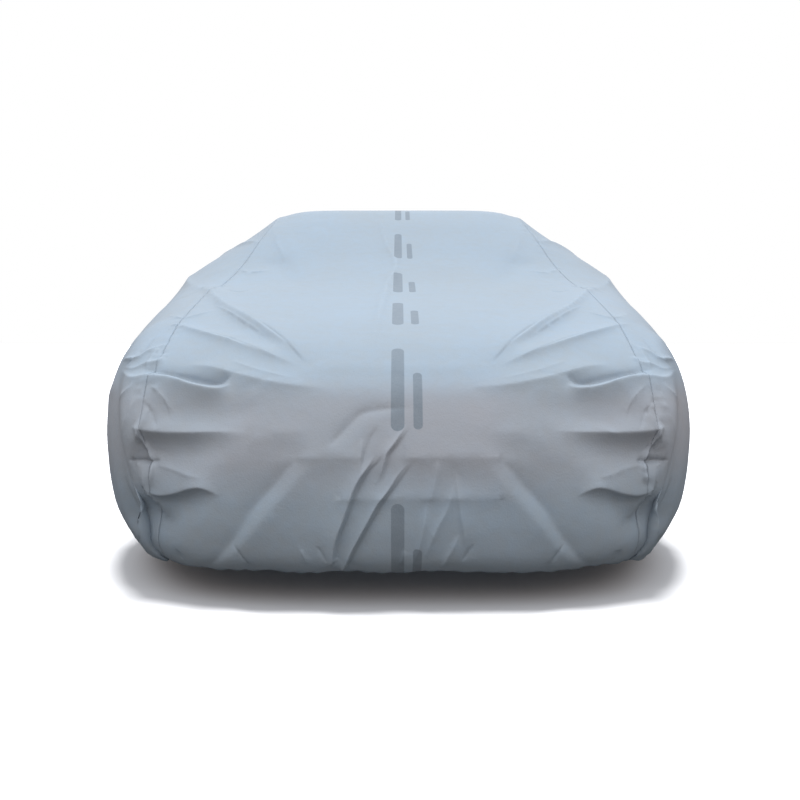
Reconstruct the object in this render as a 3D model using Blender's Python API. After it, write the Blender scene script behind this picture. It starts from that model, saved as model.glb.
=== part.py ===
"""A fitted car cover in the shape in which it hangs over a small hatchback.

Three sewn panels: a centre panel that runs from the front hem over bonnet, roof and tail to the rear hem,
and a side panel on each side. Together they are a hollow shell of thin cloth, open underneath.

Sizes are in metres. While the shape is worked out, a place is (out, along, up): out from the middle of the
car, along from the tip of the nose towards the tail, and up from the road. The finished cover is moved so
that its origin is where the middle of the roof bears against the cloth, with -Y towards the nose.

A place on the cloth is (run, lateral). Run is the length of cloth from the front hem, measured down the
middle of the centre panel. Lateral is 0 in the middle, 1 at the seam and 2 at the side hem, and it is
negative on the left.
"""

import bmesh
import bpy
import numpy as np

CLOTH = 0.0024
SEAM_GAP = 0.0003
CLOTH_COLOR = (0.34, 0.44, 0.53, 1.0)
SHARP = np.radians(50)
CENTRE_COLUMNS = 32
SIDE_COLUMNS = 14
ROOF_UP = 1.445
ROOF_REST_ALONG = 2.45

# The middle of the centre panel, from the front hem to the rear hem.
MIDDLE = (
    # along, up
    (0.070, 0.205),
    (0.025, 0.240),
    (0.006, 0.300),
    (0.000, 0.390),
    (0.003, 0.450),
    (0.008, 0.505),
    (0.024, 0.565),
    (0.046, 0.620),
    (0.070, 0.665),
    (0.110, 0.705),
    (0.195, 0.763),
    (0.340, 0.826),
    (0.560, 0.893),
    (0.780, 0.951),
    (1.000, 1.020),
    (1.220, 1.115),
    (1.430, 1.230),
    (1.640, 1.345),
    (1.800, 1.413),
    (1.970, 1.440),
    (2.450, ROOF_UP),
    (2.950, 1.427),
    (3.200, 1.390),
    (3.420, 1.310),
    (3.620, 1.180),
    (3.780, 1.040),
    (3.890, 0.920),
    (3.955, 0.800),
    (3.985, 0.660),
    (3.995, 0.500),
    (3.985, 0.370),
    (3.960, 0.270),
    (3.900, 0.207),
)

# How flat the centre panel is between its seams: 2 is a round crown, and more is flatter with a tighter edge.
CROWN = (
    # run, power
    (0.0, 5.0),
    (0.3, 3.2),
    (0.8, 2.4),
    (1.8, 3.2),
    (2.5, 8.0),
    (3.6, 5.0),
    (4.3, 3.0),
    (5.4, 3.0),
)

# The lines that shape each side, from the seam down to the hem.
SEAM = (
    # run, out, along, up
    (0.00, 0.615, 0.180, 0.207),
    (0.08, 0.628, 0.128, 0.255),
    (0.18, 0.634, 0.090, 0.350),
    (0.30, 0.640, 0.074, 0.470),
    (0.40, 0.655, 0.078, 0.575),
    (0.50, 0.655, 0.120, 0.665),
    (0.62, 0.648, 0.205, 0.735),
    (0.80, 0.654, 0.365, 0.818),
    (1.05, 0.662, 0.590, 0.894),
    (1.28, 0.664, 0.800, 0.955),
    (1.51, 0.648, 1.020, 1.012),
    (1.75, 0.622, 1.240, 1.098),
    (1.99, 0.592, 1.450, 1.215),
    (2.23, 0.568, 1.655, 1.319),
    (2.40, 0.568, 1.810, 1.377),
    (2.57, 0.572, 1.970, 1.401),
    (3.05, 0.578, 2.450, 1.406),
    (3.55, 0.574, 2.950, 1.386),
    (3.80, 0.574, 3.190, 1.347),
    (4.03, 0.582, 3.400, 1.280),
    (4.27, 0.592, 3.590, 1.145),
    (4.48, 0.606, 3.740, 1.005),
    (4.65, 0.616, 3.840, 0.890),
    (4.80, 0.622, 3.895, 0.765),
    (4.95, 0.625, 3.920, 0.620),
    (5.10, 0.625, 3.925, 0.475),
    (5.23, 0.620, 3.905, 0.350),
    (5.33, 0.612, 3.865, 0.255),
    (5.40, 0.600, 3.815, 0.209),
)
SHOULDER = (
    (0.00, 0.615, 0.180, 0.207),
    (0.08, 0.642, 0.152, 0.243),
    (0.18, 0.672, 0.128, 0.322),
    (0.30, 0.706, 0.134, 0.432),
    (0.40, 0.738, 0.166, 0.530),
    (0.50, 0.766, 0.222, 0.612),
    (0.62, 0.796, 0.310, 0.686),
    (0.80, 0.832, 0.450, 0.742),
    (1.05, 0.856, 0.660, 0.776),
    (1.28, 0.860, 0.860, 0.815),
    (1.51, 0.850, 1.060, 0.862),
    (1.75, 0.838, 1.270, 0.912),
    (1.99, 0.828, 1.480, 0.950),
    (2.23, 0.822, 1.680, 0.972),
    (2.57, 0.820, 2.000, 0.985),
    (3.05, 0.822, 2.460, 0.986),
    (3.55, 0.820, 2.940, 0.980),
    (3.80, 0.812, 3.160, 0.970),
    (4.03, 0.800, 3.340, 0.952),
    (4.27, 0.782, 3.505, 0.912),
    (4.48, 0.762, 3.625, 0.848),
    (4.65, 0.744, 3.705, 0.775),
    (4.80, 0.726, 3.765, 0.680),
    (4.95, 0.706, 3.812, 0.560),
    (5.10, 0.682, 3.845, 0.435),
    (5.23, 0.656, 3.855, 0.325),
    (5.33, 0.630, 3.845, 0.247),
    (5.40, 0.600, 3.815, 0.209),
)
WAIST = (
    (0.00, 0.615, 0.180, 0.207),
    (0.08, 0.656, 0.178, 0.230),
    (0.18, 0.704, 0.176, 0.282),
    (0.30, 0.754, 0.209, 0.362),
    (0.40, 0.795, 0.262, 0.426),
    (0.50, 0.833, 0.332, 0.470),
    (0.62, 0.868, 0.422, 0.500),
    (0.80, 0.897, 0.559, 0.520),
    (1.05, 0.908, 0.770, 0.535),
    (1.51, 0.900, 1.130, 0.560),
    (2.00, 0.896, 1.560, 0.580),
    (2.57, 0.894, 2.060, 0.590),
    (3.05, 0.896, 2.480, 0.590),
    (3.55, 0.898, 2.900, 0.590),
    (3.90, 0.894, 3.160, 0.585),
    (4.27, 0.872, 3.400, 0.565),
    (4.48, 0.848, 3.520, 0.540),
    (4.65, 0.820, 3.610, 0.505),
    (4.80, 0.788, 3.685, 0.455),
    (4.95, 0.752, 3.745, 0.395),
    (5.10, 0.712, 3.790, 0.325),
    (5.23, 0.672, 3.815, 0.265),
    (5.33, 0.636, 3.822, 0.228),
    (5.40, 0.600, 3.815, 0.209),
)
SILL = (
    (0.00, 0.615, 0.180, 0.207),
    (0.08, 0.651, 0.191, 0.218),
    (0.18, 0.698, 0.210, 0.244),
    (0.30, 0.752, 0.268, 0.271),
    (0.40, 0.791, 0.330, 0.284),
    (0.50, 0.827, 0.399, 0.292),
    (0.62, 0.857, 0.488, 0.297),
    (0.80, 0.878, 0.618, 0.300),
    (1.05, 0.884, 0.826, 0.300),
    (1.51, 0.880, 1.190, 0.300),
    (2.00, 0.878, 1.610, 0.300),
    (2.57, 0.878, 2.090, 0.300),
    (3.05, 0.878, 2.490, 0.300),
    (3.55, 0.878, 2.870, 0.302),
    (3.90, 0.874, 3.110, 0.304),
    (4.27, 0.850, 3.340, 0.304),
    (4.48, 0.824, 3.460, 0.302),
    (4.65, 0.796, 3.550, 0.298),
    (4.80, 0.764, 3.625, 0.290),
    (4.95, 0.728, 3.690, 0.276),
    (5.10, 0.690, 3.742, 0.254),
    (5.23, 0.656, 3.780, 0.230),
    (5.33, 0.628, 3.802, 0.216),
    (5.40, 0.600, 3.815, 0.209),
)
HEM = (
    (0.00, 0.615, 0.180, 0.207),
    (0.08, 0.636, 0.200, 0.206),
    (0.18, 0.670, 0.236, 0.205),
    (0.30, 0.716, 0.298, 0.204),
    (0.40, 0.750, 0.360, 0.203),
    (0.50, 0.780, 0.430, 0.202),
    (0.62, 0.806, 0.515, 0.201),
    (0.80, 0.826, 0.645, 0.200),
    (1.05, 0.834, 0.850, 0.200),
    (1.51, 0.832, 1.210, 0.200),
    (2.00, 0.830, 1.630, 0.200),
    (2.57, 0.830, 2.100, 0.200),
    (3.05, 0.830, 2.490, 0.200),
    (3.55, 0.830, 2.860, 0.202),
    (3.90, 0.826, 3.090, 0.204),
    (4.27, 0.802, 3.315, 0.206),
    (4.48, 0.776, 3.430, 0.207),
    (4.65, 0.750, 3.520, 0.208),
    (4.80, 0.722, 3.595, 0.208),
    (4.95, 0.692, 3.665, 0.208),
    (5.10, 0.662, 3.722, 0.209),
    (5.23, 0.636, 3.768, 0.209),
    (5.33, 0.616, 3.798, 0.209),
    (5.40, 0.600, 3.815, 0.209),
)
SIDE_KNOTS = (0.0, 0.34, 0.66, 0.87, 1.0)

# How sharply the cloth turns at the seam: 0 lets it pass over smoothly, and 1 makes an edge of it.
SEAM_EDGE = (
    # run, share
    (0.0, 0.0),
    (1.5, 0.0),
    (2.1, 1.0),
    (4.2, 1.0),
    (4.8, 0.3),
    (5.4, 0.0),
)

# The door mirror holds the cloth out like a tent pole. Shift is (out, along, up) at its tip.
MIRROR = {
    "run": 2.24,
    "lateral": 1.29,
    "shift": (0.148, 0.0, 0.056),
    "reach_front": 1.35,
    "reach_back": 0.95,
    "reach_up": 0.34,
    "reach_down": 0.66,
    "tip": 0.06,
}


def tangents(knots, values):
    """Slopes of a smooth curve through values at uneven knots, each from the parabola through three of them."""
    step = np.diff(knots)[:, None]
    slope = np.diff(values, axis=0) / step
    inner = (slope[:-1] * step[1:] + slope[1:] * step[:-1]) / (step[1:] + step[:-1])
    first = 2 * slope[0] - inner[0]
    last = 2 * slope[-1] - inner[-1]
    return np.vstack([first, inner, last])


def smooth(knots, values, at):
    """A cubic Hermite curve through values at knots, read at the numbers in at."""
    knots = np.asarray(knots, float)
    values = np.asarray(values, float).reshape(len(knots), -1)
    at = np.clip(np.asarray(at, float), knots[0], knots[-1])
    slopes = tangents(knots, values)
    i = np.clip(np.searchsorted(knots, at, side="right") - 1, 0, len(knots) - 2)
    width = (knots[i + 1] - knots[i])[:, None]
    t = (at - knots[i])[:, None] / width
    return (
        (2 * t**3 - 3 * t**2 + 1) * values[i]
        + (t**3 - 2 * t**2 + t) * width * slopes[i]
        + (3 * t**2 - 2 * t**3) * values[i + 1]
        + (t**3 - t**2) * width * slopes[i + 1]
    )


def middle_curve():
    """The middle line as (run, along, up) rows, closely spaced."""
    points = np.array(MIDDLE)
    chord = np.concatenate([[0], np.cumsum(np.linalg.norm(np.diff(points, axis=0), axis=1))])
    fine = smooth(chord, points, np.linspace(0, chord[-1], 1201))
    run = np.concatenate([[0], np.cumsum(np.linalg.norm(np.diff(fine, axis=0), axis=1))])
    return np.column_stack([run, fine])


MIDDLE_CURVE = middle_curve()
CLOTH_LENGTH = MIDDLE_CURVE[-1, 0]


def rail(rows, run):
    """One of the side lines at these runs, as (out, along, up)."""
    rows = np.array(rows)
    knots = rows[:, 0] * CLOTH_LENGTH / rows[-1, 0]
    return smooth(knots, rows[:, 1:], run)


def centre_points(run, q):
    """Places on the centre panel, where q is 0 in the middle and 1 at the right seam."""
    middle = np.column_stack(
        [np.zeros(len(run))] + [np.interp(run, MIDDLE_CURVE[:, 0], MIDDLE_CURVE[:, k]) for k in (1, 2)]
    )
    seam = rail(SEAM, run)
    power = smooth([row[0] for row in CROWN], [row[1] for row in CROWN], run)[:, 0]
    drop = (np.abs(q) ** power)[:, None]
    places = middle + (seam - middle) * drop
    places[:, 0] = seam[:, 0] * q
    return places


def side_points(run, v):
    """Places on the right side panel, where v is 0 at the seam and 1 at the hem."""
    inside = centre_points(run, np.full(len(run), 0.72))
    rails = [inside] + [rail(rows, run) for rows in (SEAM, SHOULDER, WAIST, SILL, HEM)]
    knots = np.array((-0.17,) + SIDE_KNOTS)
    places = np.empty((len(run), 3))
    slopes = tangents(knots, np.stack(rails).reshape(len(knots), -1)).reshape(len(knots), -1, 3)
    edge = smooth([row[0] for row in SEAM_EDGE], [row[1] for row in SEAM_EDGE], run)
    below = tangents(knots[1:], np.stack(rails[1:]).reshape(len(knots) - 1, -1))[0].reshape(-1, 3)
    slopes[1] += (below - slopes[1]) * np.clip(edge, 0, 1)
    for i in range(1, len(knots) - 1):
        here = (v >= knots[i]) & (v <= knots[i + 1])
        width = knots[i + 1] - knots[i]
        t = ((v[here] - knots[i]) / width)[:, None]
        places[here] = (
            (2 * t**3 - 3 * t**2 + 1) * rails[i][here]
            + (t**3 - 2 * t**2 + t) * width * slopes[i][here]
            + (3 * t**2 - 2 * t**3) * rails[i + 1][here]
            + (t**3 - t**2) * width * slopes[i + 1][here]
        )
    return places


def mirror_tent(run, out):
    """How far the mirror under the cloth pushes it out, from 1 at its tip down to 0 on the body."""
    along = run - MIRROR["run"]
    across = out - MIRROR["lateral"]
    along = along / np.where(along < 0, MIRROR["reach_front"], MIRROR["reach_back"])
    across = across / np.where(across < 0, MIRROR["reach_up"], MIRROR["reach_down"])
    away = np.sqrt(along**2 + across**2 + MIRROR["tip"] ** 2) - MIRROR["tip"]
    cone = np.clip(1 - away, 0, None)
    return cone**1.5


def body_points(run, lateral):
    """Places on the smooth cover, before its folds, for any run and lateral."""
    run = np.asarray(run, float).ravel()
    lateral = np.asarray(lateral, float).ravel()
    out = np.abs(lateral)
    places = np.empty((len(run), 3))
    centre = out <= 1
    places[centre] = centre_points(run[centre], out[centre])
    places[~centre] = side_points(run[~centre], out[~centre] - 1)
    places += mirror_tent(run, out)[:, None] * np.array(MIRROR["shift"])
    places[:, 0] *= np.where(lateral < 0, -1, 1)
    return places


# Each fold is a ridge, or with a negative height a hollow, along a path over the cloth. Seen from outside in
# the direction of its path, it spreads to the left and the right by its own lengths. Its tip is sharper the
# nearer that number is to 0. It is highest at its peak, which is a share of its path, and dies out at both
# ends, unless its start is more than 0, where the hem cuts it off. A fold with a twin lies on the left, and
# its twin on the right has the given share of its height.
FOLDS = (
    # height, left, right, tip, twin, peak, start, path as (run, lateral)
    # Over the bonnet, from the foot of the screen.
    (0.0200, 0.065, 0.028, 0.25, 0.90, 0.50, 0.00, ((1.566, -1.160), (1.128, -0.845), (0.922, -0.645),
        (0.762, -0.490), (0.604, -0.325))),
    (-0.0100, 0.024, 0.040, 0.80, 0.90, 0.67, 0.00, ((1.098, -0.960), (0.912, -0.775), (0.780, -0.620),
        (0.664, -0.480))),
    (0.0160, 0.050, 0.022, 0.25, 1.10, 0.50, 0.00, ((0.920, -1.060), (0.808, -0.860), (0.736, -0.680),
        (0.672, -0.540), (0.600, -0.390))),
    # The crisp crest on the lip of the bonnet, with a hollow on each side of it.
    (0.0200, 0.017, 0.034, 0.25, 0.95, 0.57, 0.00, ((0.656, -1.365), (0.556, -1.110), (0.542, -1.000),
        (0.532, -0.900), (0.514, -0.820), (0.504, -0.755), (0.504, -0.700), (0.522, -0.660))),
    (-0.0180, 0.018, 0.017, 0.50, 0.95, 0.50, 0.00, ((0.580, -1.040), (0.566, -0.950), (0.548, -0.850),
        (0.532, -0.760), (0.532, -0.695), (0.544, -0.670))),
    (-0.0180, 0.062, 0.050, 0.80, 0.95, 0.45, 0.00, ((0.446, -0.975), (0.436, -0.855), (0.432, -0.750),
        (0.440, -0.635), (0.458, -0.500))),
    (0.0130, 0.060, 0.030, 0.25, 1.00, 0.50, 0.00, ((0.598, -0.855), (0.582, -0.770), (0.560, -0.695),
        (0.536, -0.600), (0.522, -0.510), (0.512, -0.415), (0.506, -0.265))),
    # Slack rolls over the lower corner, pinched at the seam.
    (0.0140, 0.034, 0.024, 0.25, 1.00, 0.40, 0.00, ((0.400, -1.030), (0.390, -0.990), (0.386, -0.920),
        (0.386, -0.820), (0.388, -0.725), (0.390, -0.580))),
    (-0.0250, 0.040, 0.046, 0.70, 1.00, 0.30, 0.00, ((0.350, -1.035), (0.340, -0.970), (0.338, -0.860),
        (0.346, -0.745), (0.358, -0.595))),
    (0.0150, 0.040, 0.017, 0.25, 0.90, 0.50, 0.00, ((0.238, -1.020), (0.228, -0.960), (0.234, -0.890),
        (0.246, -0.830), (0.252, -0.780), (0.246, -0.740), (0.228, -0.690))),
    (-0.0230, 0.036, 0.042, 0.70, 0.90, 0.36, 0.00, ((0.194, -1.240), (0.178, -1.010), (0.188, -0.950),
        (0.200, -0.895), (0.212, -0.840), (0.220, -0.780), (0.216, -0.710))),
    (0.0130, 0.017, 0.017, 0.25, 0.90, 0.60, 0.00, ((0.404, -1.015), (0.382, -1.010), (0.346, -1.000),
        (0.312, -0.985), (0.284, -0.985), (0.232, -1.005))),
    (-0.0100, 0.017, 0.017, 0.25, 1.00, 0.55, 0.00, ((0.322, -1.110), (0.314, -1.035), (0.310, -0.995),
        (0.314, -0.950))),
    (0.0090, 0.017, 0.017, 0.25, 0.80, 0.67, 0.00, ((0.658, -1.340), (0.596, -1.130), (0.606, -1.045),
        (0.616, -1.000), (0.656, -0.995))),
    # The broad diagonal on each side of the front, from the hem up to the end of the bumper.
    (-0.0090, 0.026, 0.017, 0.40, 0.90, 0.50, 0.10, ((0.020, -0.785), (0.084, -0.695), (0.140, -0.625),
        (0.190, -0.575), (0.226, -0.525), (0.256, -0.480), (0.292, -0.435), (0.326, -0.375))),
    (0.0100, 0.024, 0.044, 0.30, 0.90, 0.50, 0.00, ((0.026, -0.755), (0.088, -0.645), (0.146, -0.565),
        (0.192, -0.500), (0.230, -0.445), (0.264, -0.400), (0.298, -0.355), (0.330, -0.300))),
    # The lower edge of the bumper under the cloth, and the fainter lines round it.
    (0.0060, 0.050, 0.028, 0.25, 0.00, 0.50, 0.00, ((0.326, -0.390), (0.326, -0.330), (0.326, -0.185),
        (0.326, -0.130))),
    (0.0060, 0.050, 0.028, 0.25, 0.00, 0.50, 0.00, ((0.326, 0.020), (0.326, 0.080), (0.326, 0.330),
        (0.326, 0.390))),
    # The pair of sharp folds left of the middle.
    (-0.0070, 0.017, 0.024, 0.25, 0.00, 0.45, 0.20, ((0.076, -0.240), (0.134, -0.220), (0.184, -0.190),
        (0.228, -0.165), (0.266, -0.135), (0.296, -0.105), (0.316, -0.075), (0.346, -0.045))),
    (0.0140, 0.032, 0.017, 0.25, 0.00, 0.50, 0.20, ((0.068, -0.260), (0.122, -0.245), (0.172, -0.215),
        (0.216, -0.190), (0.250, -0.170), (0.278, -0.145), (0.304, -0.115), (0.330, -0.090))),
    (-0.0070, 0.017, 0.030, 0.25, 0.00, 0.50, 0.25, ((0.050, -0.195), (0.098, -0.160), (0.140, -0.125),
        (0.178, -0.090), (0.216, -0.055), (0.250, -0.015), (0.286, 0.025), (0.322, 0.065))),
    (0.0120, 0.018, 0.017, 0.25, 0.00, 0.42, 0.25, ((0.042, -0.220), (0.094, -0.185), (0.136, -0.150),
        (0.176, -0.115), (0.214, -0.080), (0.246, -0.040), (0.284, 0.000), (0.316, 0.045))),
    # Soft hollows and ridges down the screen.
    (0.0050, 0.026, 0.030, 0.60, 0.80, 0.50, 0.00, ((2.256, -0.955), (2.022, -0.830), (1.838, -0.720),
        (1.568, -0.605))),
    (-0.0110, 0.050, 0.045, 1.00, 1.00, 0.67, 0.00, ((1.784, -0.965), (1.768, -0.855), (1.680, -0.720),
        (1.312, -0.520))),
    # A crease from the packing, down the screen and the bonnet.
    (0.0080, 0.018, 0.020, 0.30, 0.00, 0.50, 0.00, ((2.288, -0.160), (2.114, -0.125), (1.904, -0.075),
        (1.702, -0.015), (1.440, -0.060), (1.080, -0.085), (0.818, -0.095), (0.642, -0.110))),
    # The cloth pulled out by the mirror, on each side.
    (0.0150, 0.065, 0.050, 0.30, 0.90, 0.33, 0.00, ((2.280, -1.290), (2.600, -1.300), (2.950, -1.320),
        (3.350, -1.330))),
    (0.0150, 0.060, 0.045, 0.30, 1.10, 0.33, 0.00, ((2.300, -1.340), (2.600, -1.490), (2.950, -1.660),
        (3.300, -1.840))),
    (0.0140, 0.050, 0.045, 0.30, 0.80, 0.33, 0.00, ((2.180, -1.340), (1.900, -1.500), (1.600, -1.680),
        (1.300, -1.840))),
    (-0.0100, 0.070, 0.060, 1.00, 1.00, 0.33, 0.00, ((2.380, -1.220), (2.750, -1.150), (3.100, -1.120),
        (3.500, -1.120))),
    (-0.0090, 0.060, 0.060, 1.00, 1.00, 0.33, 0.00, ((2.400, -1.400), (2.750, -1.480), (3.100, -1.550),
        (3.450, -1.660))),
    # Slack along the sides, up from the hem.
    (0.0130, 0.055, 0.032, 0.25, 0.90, 0.33, 0.00, ((1.080, -1.970), (1.220, -1.820), (1.420, -1.660),
        (1.620, -1.500))),
    (0.0090, 0.032, 0.050, 0.25, 1.00, 0.33, 0.00, ((2.020, -1.970), (2.080, -1.800), (2.220, -1.620),
        (2.400, -1.480))),
    (0.0130, 0.055, 0.034, 0.25, 1.10, 0.33, 0.00, ((3.450, -1.970), (3.580, -1.800), (3.800, -1.600),
        (4.020, -1.420))),
    (0.0140, 0.050, 0.040, 0.30, 0.90, 0.33, 0.00, ((4.300, -1.960), (4.420, -1.760), (4.450, -1.520),
        (4.380, -1.280))),
    # The tail, where the cloth is slack over each corner.
    (0.0150, 0.044, 0.028, 0.25, 0.90, 0.33, 0.00, ((4.600, -1.360), (4.720, -1.050), (4.780, -0.800),
        (4.820, -0.520))),
    (-0.0080, 0.026, 0.030, 0.80, 0.90, 0.50, 0.00, ((4.660, -1.300), (4.780, -1.020), (4.840, -0.780),
        (4.880, -0.520))),
    (0.0160, 0.028, 0.050, 0.25, 1.00, 0.67, 0.00, ((5.060, -0.500), (5.040, -0.780), (5.030, -1.020),
        (5.040, -1.400))),
    (0.0120, 0.028, 0.036, 0.30, 0.80, 0.33, 0.00, ((5.360, -0.620), (5.240, -0.480), (5.100, -0.340),
        (4.960, -0.200))),
    (0.0120, 0.055, 0.032, 0.30, 1.10, 0.33, 0.00, ((3.780, -0.980), (4.020, -0.720), (4.260, -0.500),
        (4.520, -0.340))),
    (0.0080, 0.022, 0.018, 0.30, 0.00, 0.67, 0.00, ((5.380, 0.180), (5.260, 0.120), (5.120, 0.050),
        (4.960, -0.020))),
    (-0.0150, 0.075, 0.040, 1.00, 0.90, 0.50, 0.00, ((0.250, -1.710), (0.190, -1.450), (0.158, -1.015),
        (0.174, -0.945))),
)
FOLD_STEPS = 8
FOLD_REACH = 3.5

# The rows of the mesh: close together at the front, where most folds are.
ROWS = (
    # start, end, count
    (0.00, 0.66, 24),
    (0.66, 1.20, 10),
    (1.20, 2.50, 12),
    (2.50, 3.70, 7),
    (3.70, CLOTH_LENGTH, 15),
)

# Gathers along the elastic of the hem.
HEM_WAVE = {"length": 0.135, "height": 0.003, "reach": 0.060}


def across_and_normal(points, run, lateral):
    """Unit vectors across the cloth towards the right, and out of it."""
    step = 0.004
    ahead = points(np.minimum(run + step, CLOTH_LENGTH), lateral) - points(np.maximum(run - step, 0), lateral)
    right = points(run, np.minimum(lateral + step, 2)) - points(run, np.maximum(lateral - step, -2))
    right /= np.linalg.norm(right, axis=1, keepdims=True) + 1e-12
    normal = np.cross(right, ahead)
    normal /= np.linalg.norm(normal, axis=1, keepdims=True) + 1e-12
    return right, normal


def fold_line(path, peak, start):
    """A fold's path over the cloth, and how much of its full height it stands at each point of it."""
    count = (len(path) - 1) * FOLD_STEPS + 1
    at = np.linspace(0, len(path) - 1, count)
    spots = smooth(np.arange(len(path)), path, at)
    share = start + (1 - start) * at / at[-1]
    swell = np.clip(np.sin(np.pi * share ** (np.log(0.5) / np.log(peak))), 0, 1)
    return body_points(spots[:, 0], spots[:, 1]), swell**1.5 * (2.5 - 1.5 * swell)


def fold_height(line, stands, left_spread, right_spread, tip, places, normals):
    """How much of its height one fold gives to each place on the cloth."""
    reach = FOLD_REACH * max(left_spread, right_spread)
    near = ((places > line.min(axis=0) - reach) & (places < line.max(axis=0) + reach)).all(axis=1)
    height = np.zeros(len(places))
    if not near.any():
        return height
    places, normals = places[near], normals[near]
    nearest = np.full(len(places), np.inf)
    found = np.zeros(len(places))
    for i in range(len(line) - 1):
        step = line[i + 1] - line[i]
        length = np.linalg.norm(step) + 1e-9
        share = np.clip((places - line[i]) @ step / length**2, 0, 1)
        away = places - line[i] - share[:, None] * step
        distance = np.linalg.norm(away, axis=1)
        left = (away * np.cross(normals, step / length)).sum(axis=1)
        standing = stands[i] + share * (stands[i + 1] - stands[i])
        spread = np.where(left > 0, left_spread, right_spread) * (0.4 + 0.6 * standing)
        shape = np.exp(-1.4 * (np.sqrt((distance / spread) ** 2 + tip**2) - tip))
        closer = distance < nearest
        nearest = np.where(closer, distance, nearest)
        found = np.where(closer, standing * shape, found)
    height[near] = found
    return height


def side_depth(run):
    """How deep the side panel is from its seam to its hem."""
    rails = [rail(rows, run) for rows in (SEAM, SHOULDER, WAIST, SILL, HEM)]
    return sum(np.linalg.norm(low - high, axis=1) for high, low in zip(rails[:-1], rails[1:]))


def hem_wave(run, lateral, places):
    """The gathers of the hem, which die out up the cloth."""
    out = np.abs(lateral)
    from_ends = np.minimum(run, CLOTH_LENGTH - run)
    from_hem = np.where(out > 1, np.clip(2 - out, 0, 1) * side_depth(run), from_ends)
    along_hem = places[:, 0] + 0.7 * places[:, 1]
    turn = 2 * np.pi / HEM_WAVE["length"]
    wave = np.sin(turn * along_hem + 1.6 * np.sin(0.31 * turn * along_hem + 0.8))
    return HEM_WAVE["height"] * wave * np.exp(-((from_hem / HEM_WAVE["reach"]) ** 2))


def cover_points(run, lateral):
    """Places on the outside of the cover, folds included, for any run and lateral."""
    run = np.asarray(run, float).ravel()
    lateral = np.asarray(lateral, float).ravel()
    places = body_points(run, lateral)
    normals = across_and_normal(body_points, run, lateral)[1]
    height = hem_wave(run, lateral, places)
    for full, left, right, tip, twin, peak, start, path in FOLDS:
        line, stands = fold_line(path, peak, start)
        height += full * fold_height(line, stands, left, right, tip, places, normals)
        if twin:
            line = line * (-1, 1, 1)
            height += twin * full * fold_height(line, stands, right, left, tip, places, normals)
    return places + height[:, None] * normals


def row_runs():
    """Where the rows of the mesh lie along the cloth."""
    parts = [np.linspace(start, end, count, endpoint=False) for start, end, count in ROWS]
    return np.append(np.concatenate(parts), CLOTH_LENGTH)


def triangles(ids, places):
    """Triangles over a grid of vertex numbers, each quad split along its shorter diagonal."""
    faces = []
    for low, high in zip(ids[:-1], ids[1:]):
        for j in range(len(low) - 1):
            a, b, c, d = low[j], low[j + 1], high[j + 1], high[j]
            if np.linalg.norm(places[a] - places[c]) <= np.linalg.norm(places[b] - places[d]):
                split = ((a, b, c), (a, c, d))
            else:
                split = ((a, b, d), (b, c, d))
            faces += [face for face in split if len(set(face)) == 3]
    return faces


def cloth_material():
    """The grey-blue membrane cloth, matt and without metal."""
    material = bpy.data.materials.new("cover_cloth")
    material.use_nodes = True
    surface = material.node_tree.nodes["Principled BSDF"]
    surface.inputs["Base Color"].default_value = CLOTH_COLOR
    surface.inputs["Roughness"].default_value = 0.75
    surface.inputs["Metallic"].default_value = 0.0
    return material


def panel(name, columns, cloth):
    """One panel of cloth between two laterals: its outside, its inside, and the edge between."""
    runs = row_runs()
    run, lateral = (grid.ravel() for grid in np.meshgrid(runs, columns, indexing="ij"))
    outside = cover_points(run, lateral)
    right, normal = across_and_normal(cover_points, run, lateral)
    inward = -np.sign(lateral) if columns[0] == -1 else np.sign(lateral)
    shift = np.where(np.isclose(np.abs(lateral), 1), inward * SEAM_GAP / 2, 0)
    outside += shift[:, None] * right
    inside = outside - CLOTH * normal

    ids = np.arange(len(outside)).reshape(len(runs), len(columns))
    if columns[0] != -1:
        # A side panel ends in a point at each corner of the hem.
        tip = 0 if columns[0] == 1 else -1
        ids[0], ids[-1] = ids[0, tip], ids[-1, tip]
    faces = triangles(ids, outside)
    edges = {(face[i], face[(i + 1) % 3]) for face in faces for i in range(3)}
    rim = [(a, b) for a, b in edges if (b, a) not in edges]
    count = len(outside)
    faces += [(c + count, b + count, a + count) for a, b, c in faces]
    # Both walls of a seam are split along the same diagonals, so that they stay parallel.
    for a, b in rim:
        if a < b:
            faces += [(b, a, b + count), (a, a + count, b + count)]
        else:
            faces += [(b, a, a + count), (b, a + count, b + count)]

    origin = np.array((0, ROOF_REST_ALONG, ROOF_UP - CLOTH))
    mesh = bpy.data.meshes.new(name)
    places = np.vstack([outside, inside]) - origin
    mesh.from_pydata(places.tolist(), [], [tuple(map(int, face)) for face in faces])
    mesh.materials.append(cloth)
    mesh.shade_smooth()
    mesh.set_sharp_from_angle(angle=SHARP)
    obj = bpy.data.objects.new(name, mesh)
    bpy.context.scene.collection.objects.link(obj)

    shape = bmesh.new()
    shape.from_mesh(mesh)
    bmesh.ops.delete(shape, geom=[vert for vert in shape.verts if not vert.link_faces], context="VERTS")
    shape.to_mesh(mesh)
    shape.free()
    return obj


for old in list(bpy.data.objects):
    bpy.data.objects.remove(old)
cloth = cloth_material()
panel("centre_panel", np.linspace(-1, 1, CENTRE_COLUMNS + 1), cloth)
panel("side_panel_left", np.linspace(-2, -1, SIDE_COLUMNS + 1), cloth)
panel("side_panel_right", np.linspace(1, 2, SIDE_COLUMNS + 1), cloth)
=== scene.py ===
# A fitted car cover in the shape in which it hangs over a small hatchback.
# The cloth is built on the same lines as the solids, in metres, with +Y towards the tail and +Z up.
import math

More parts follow.
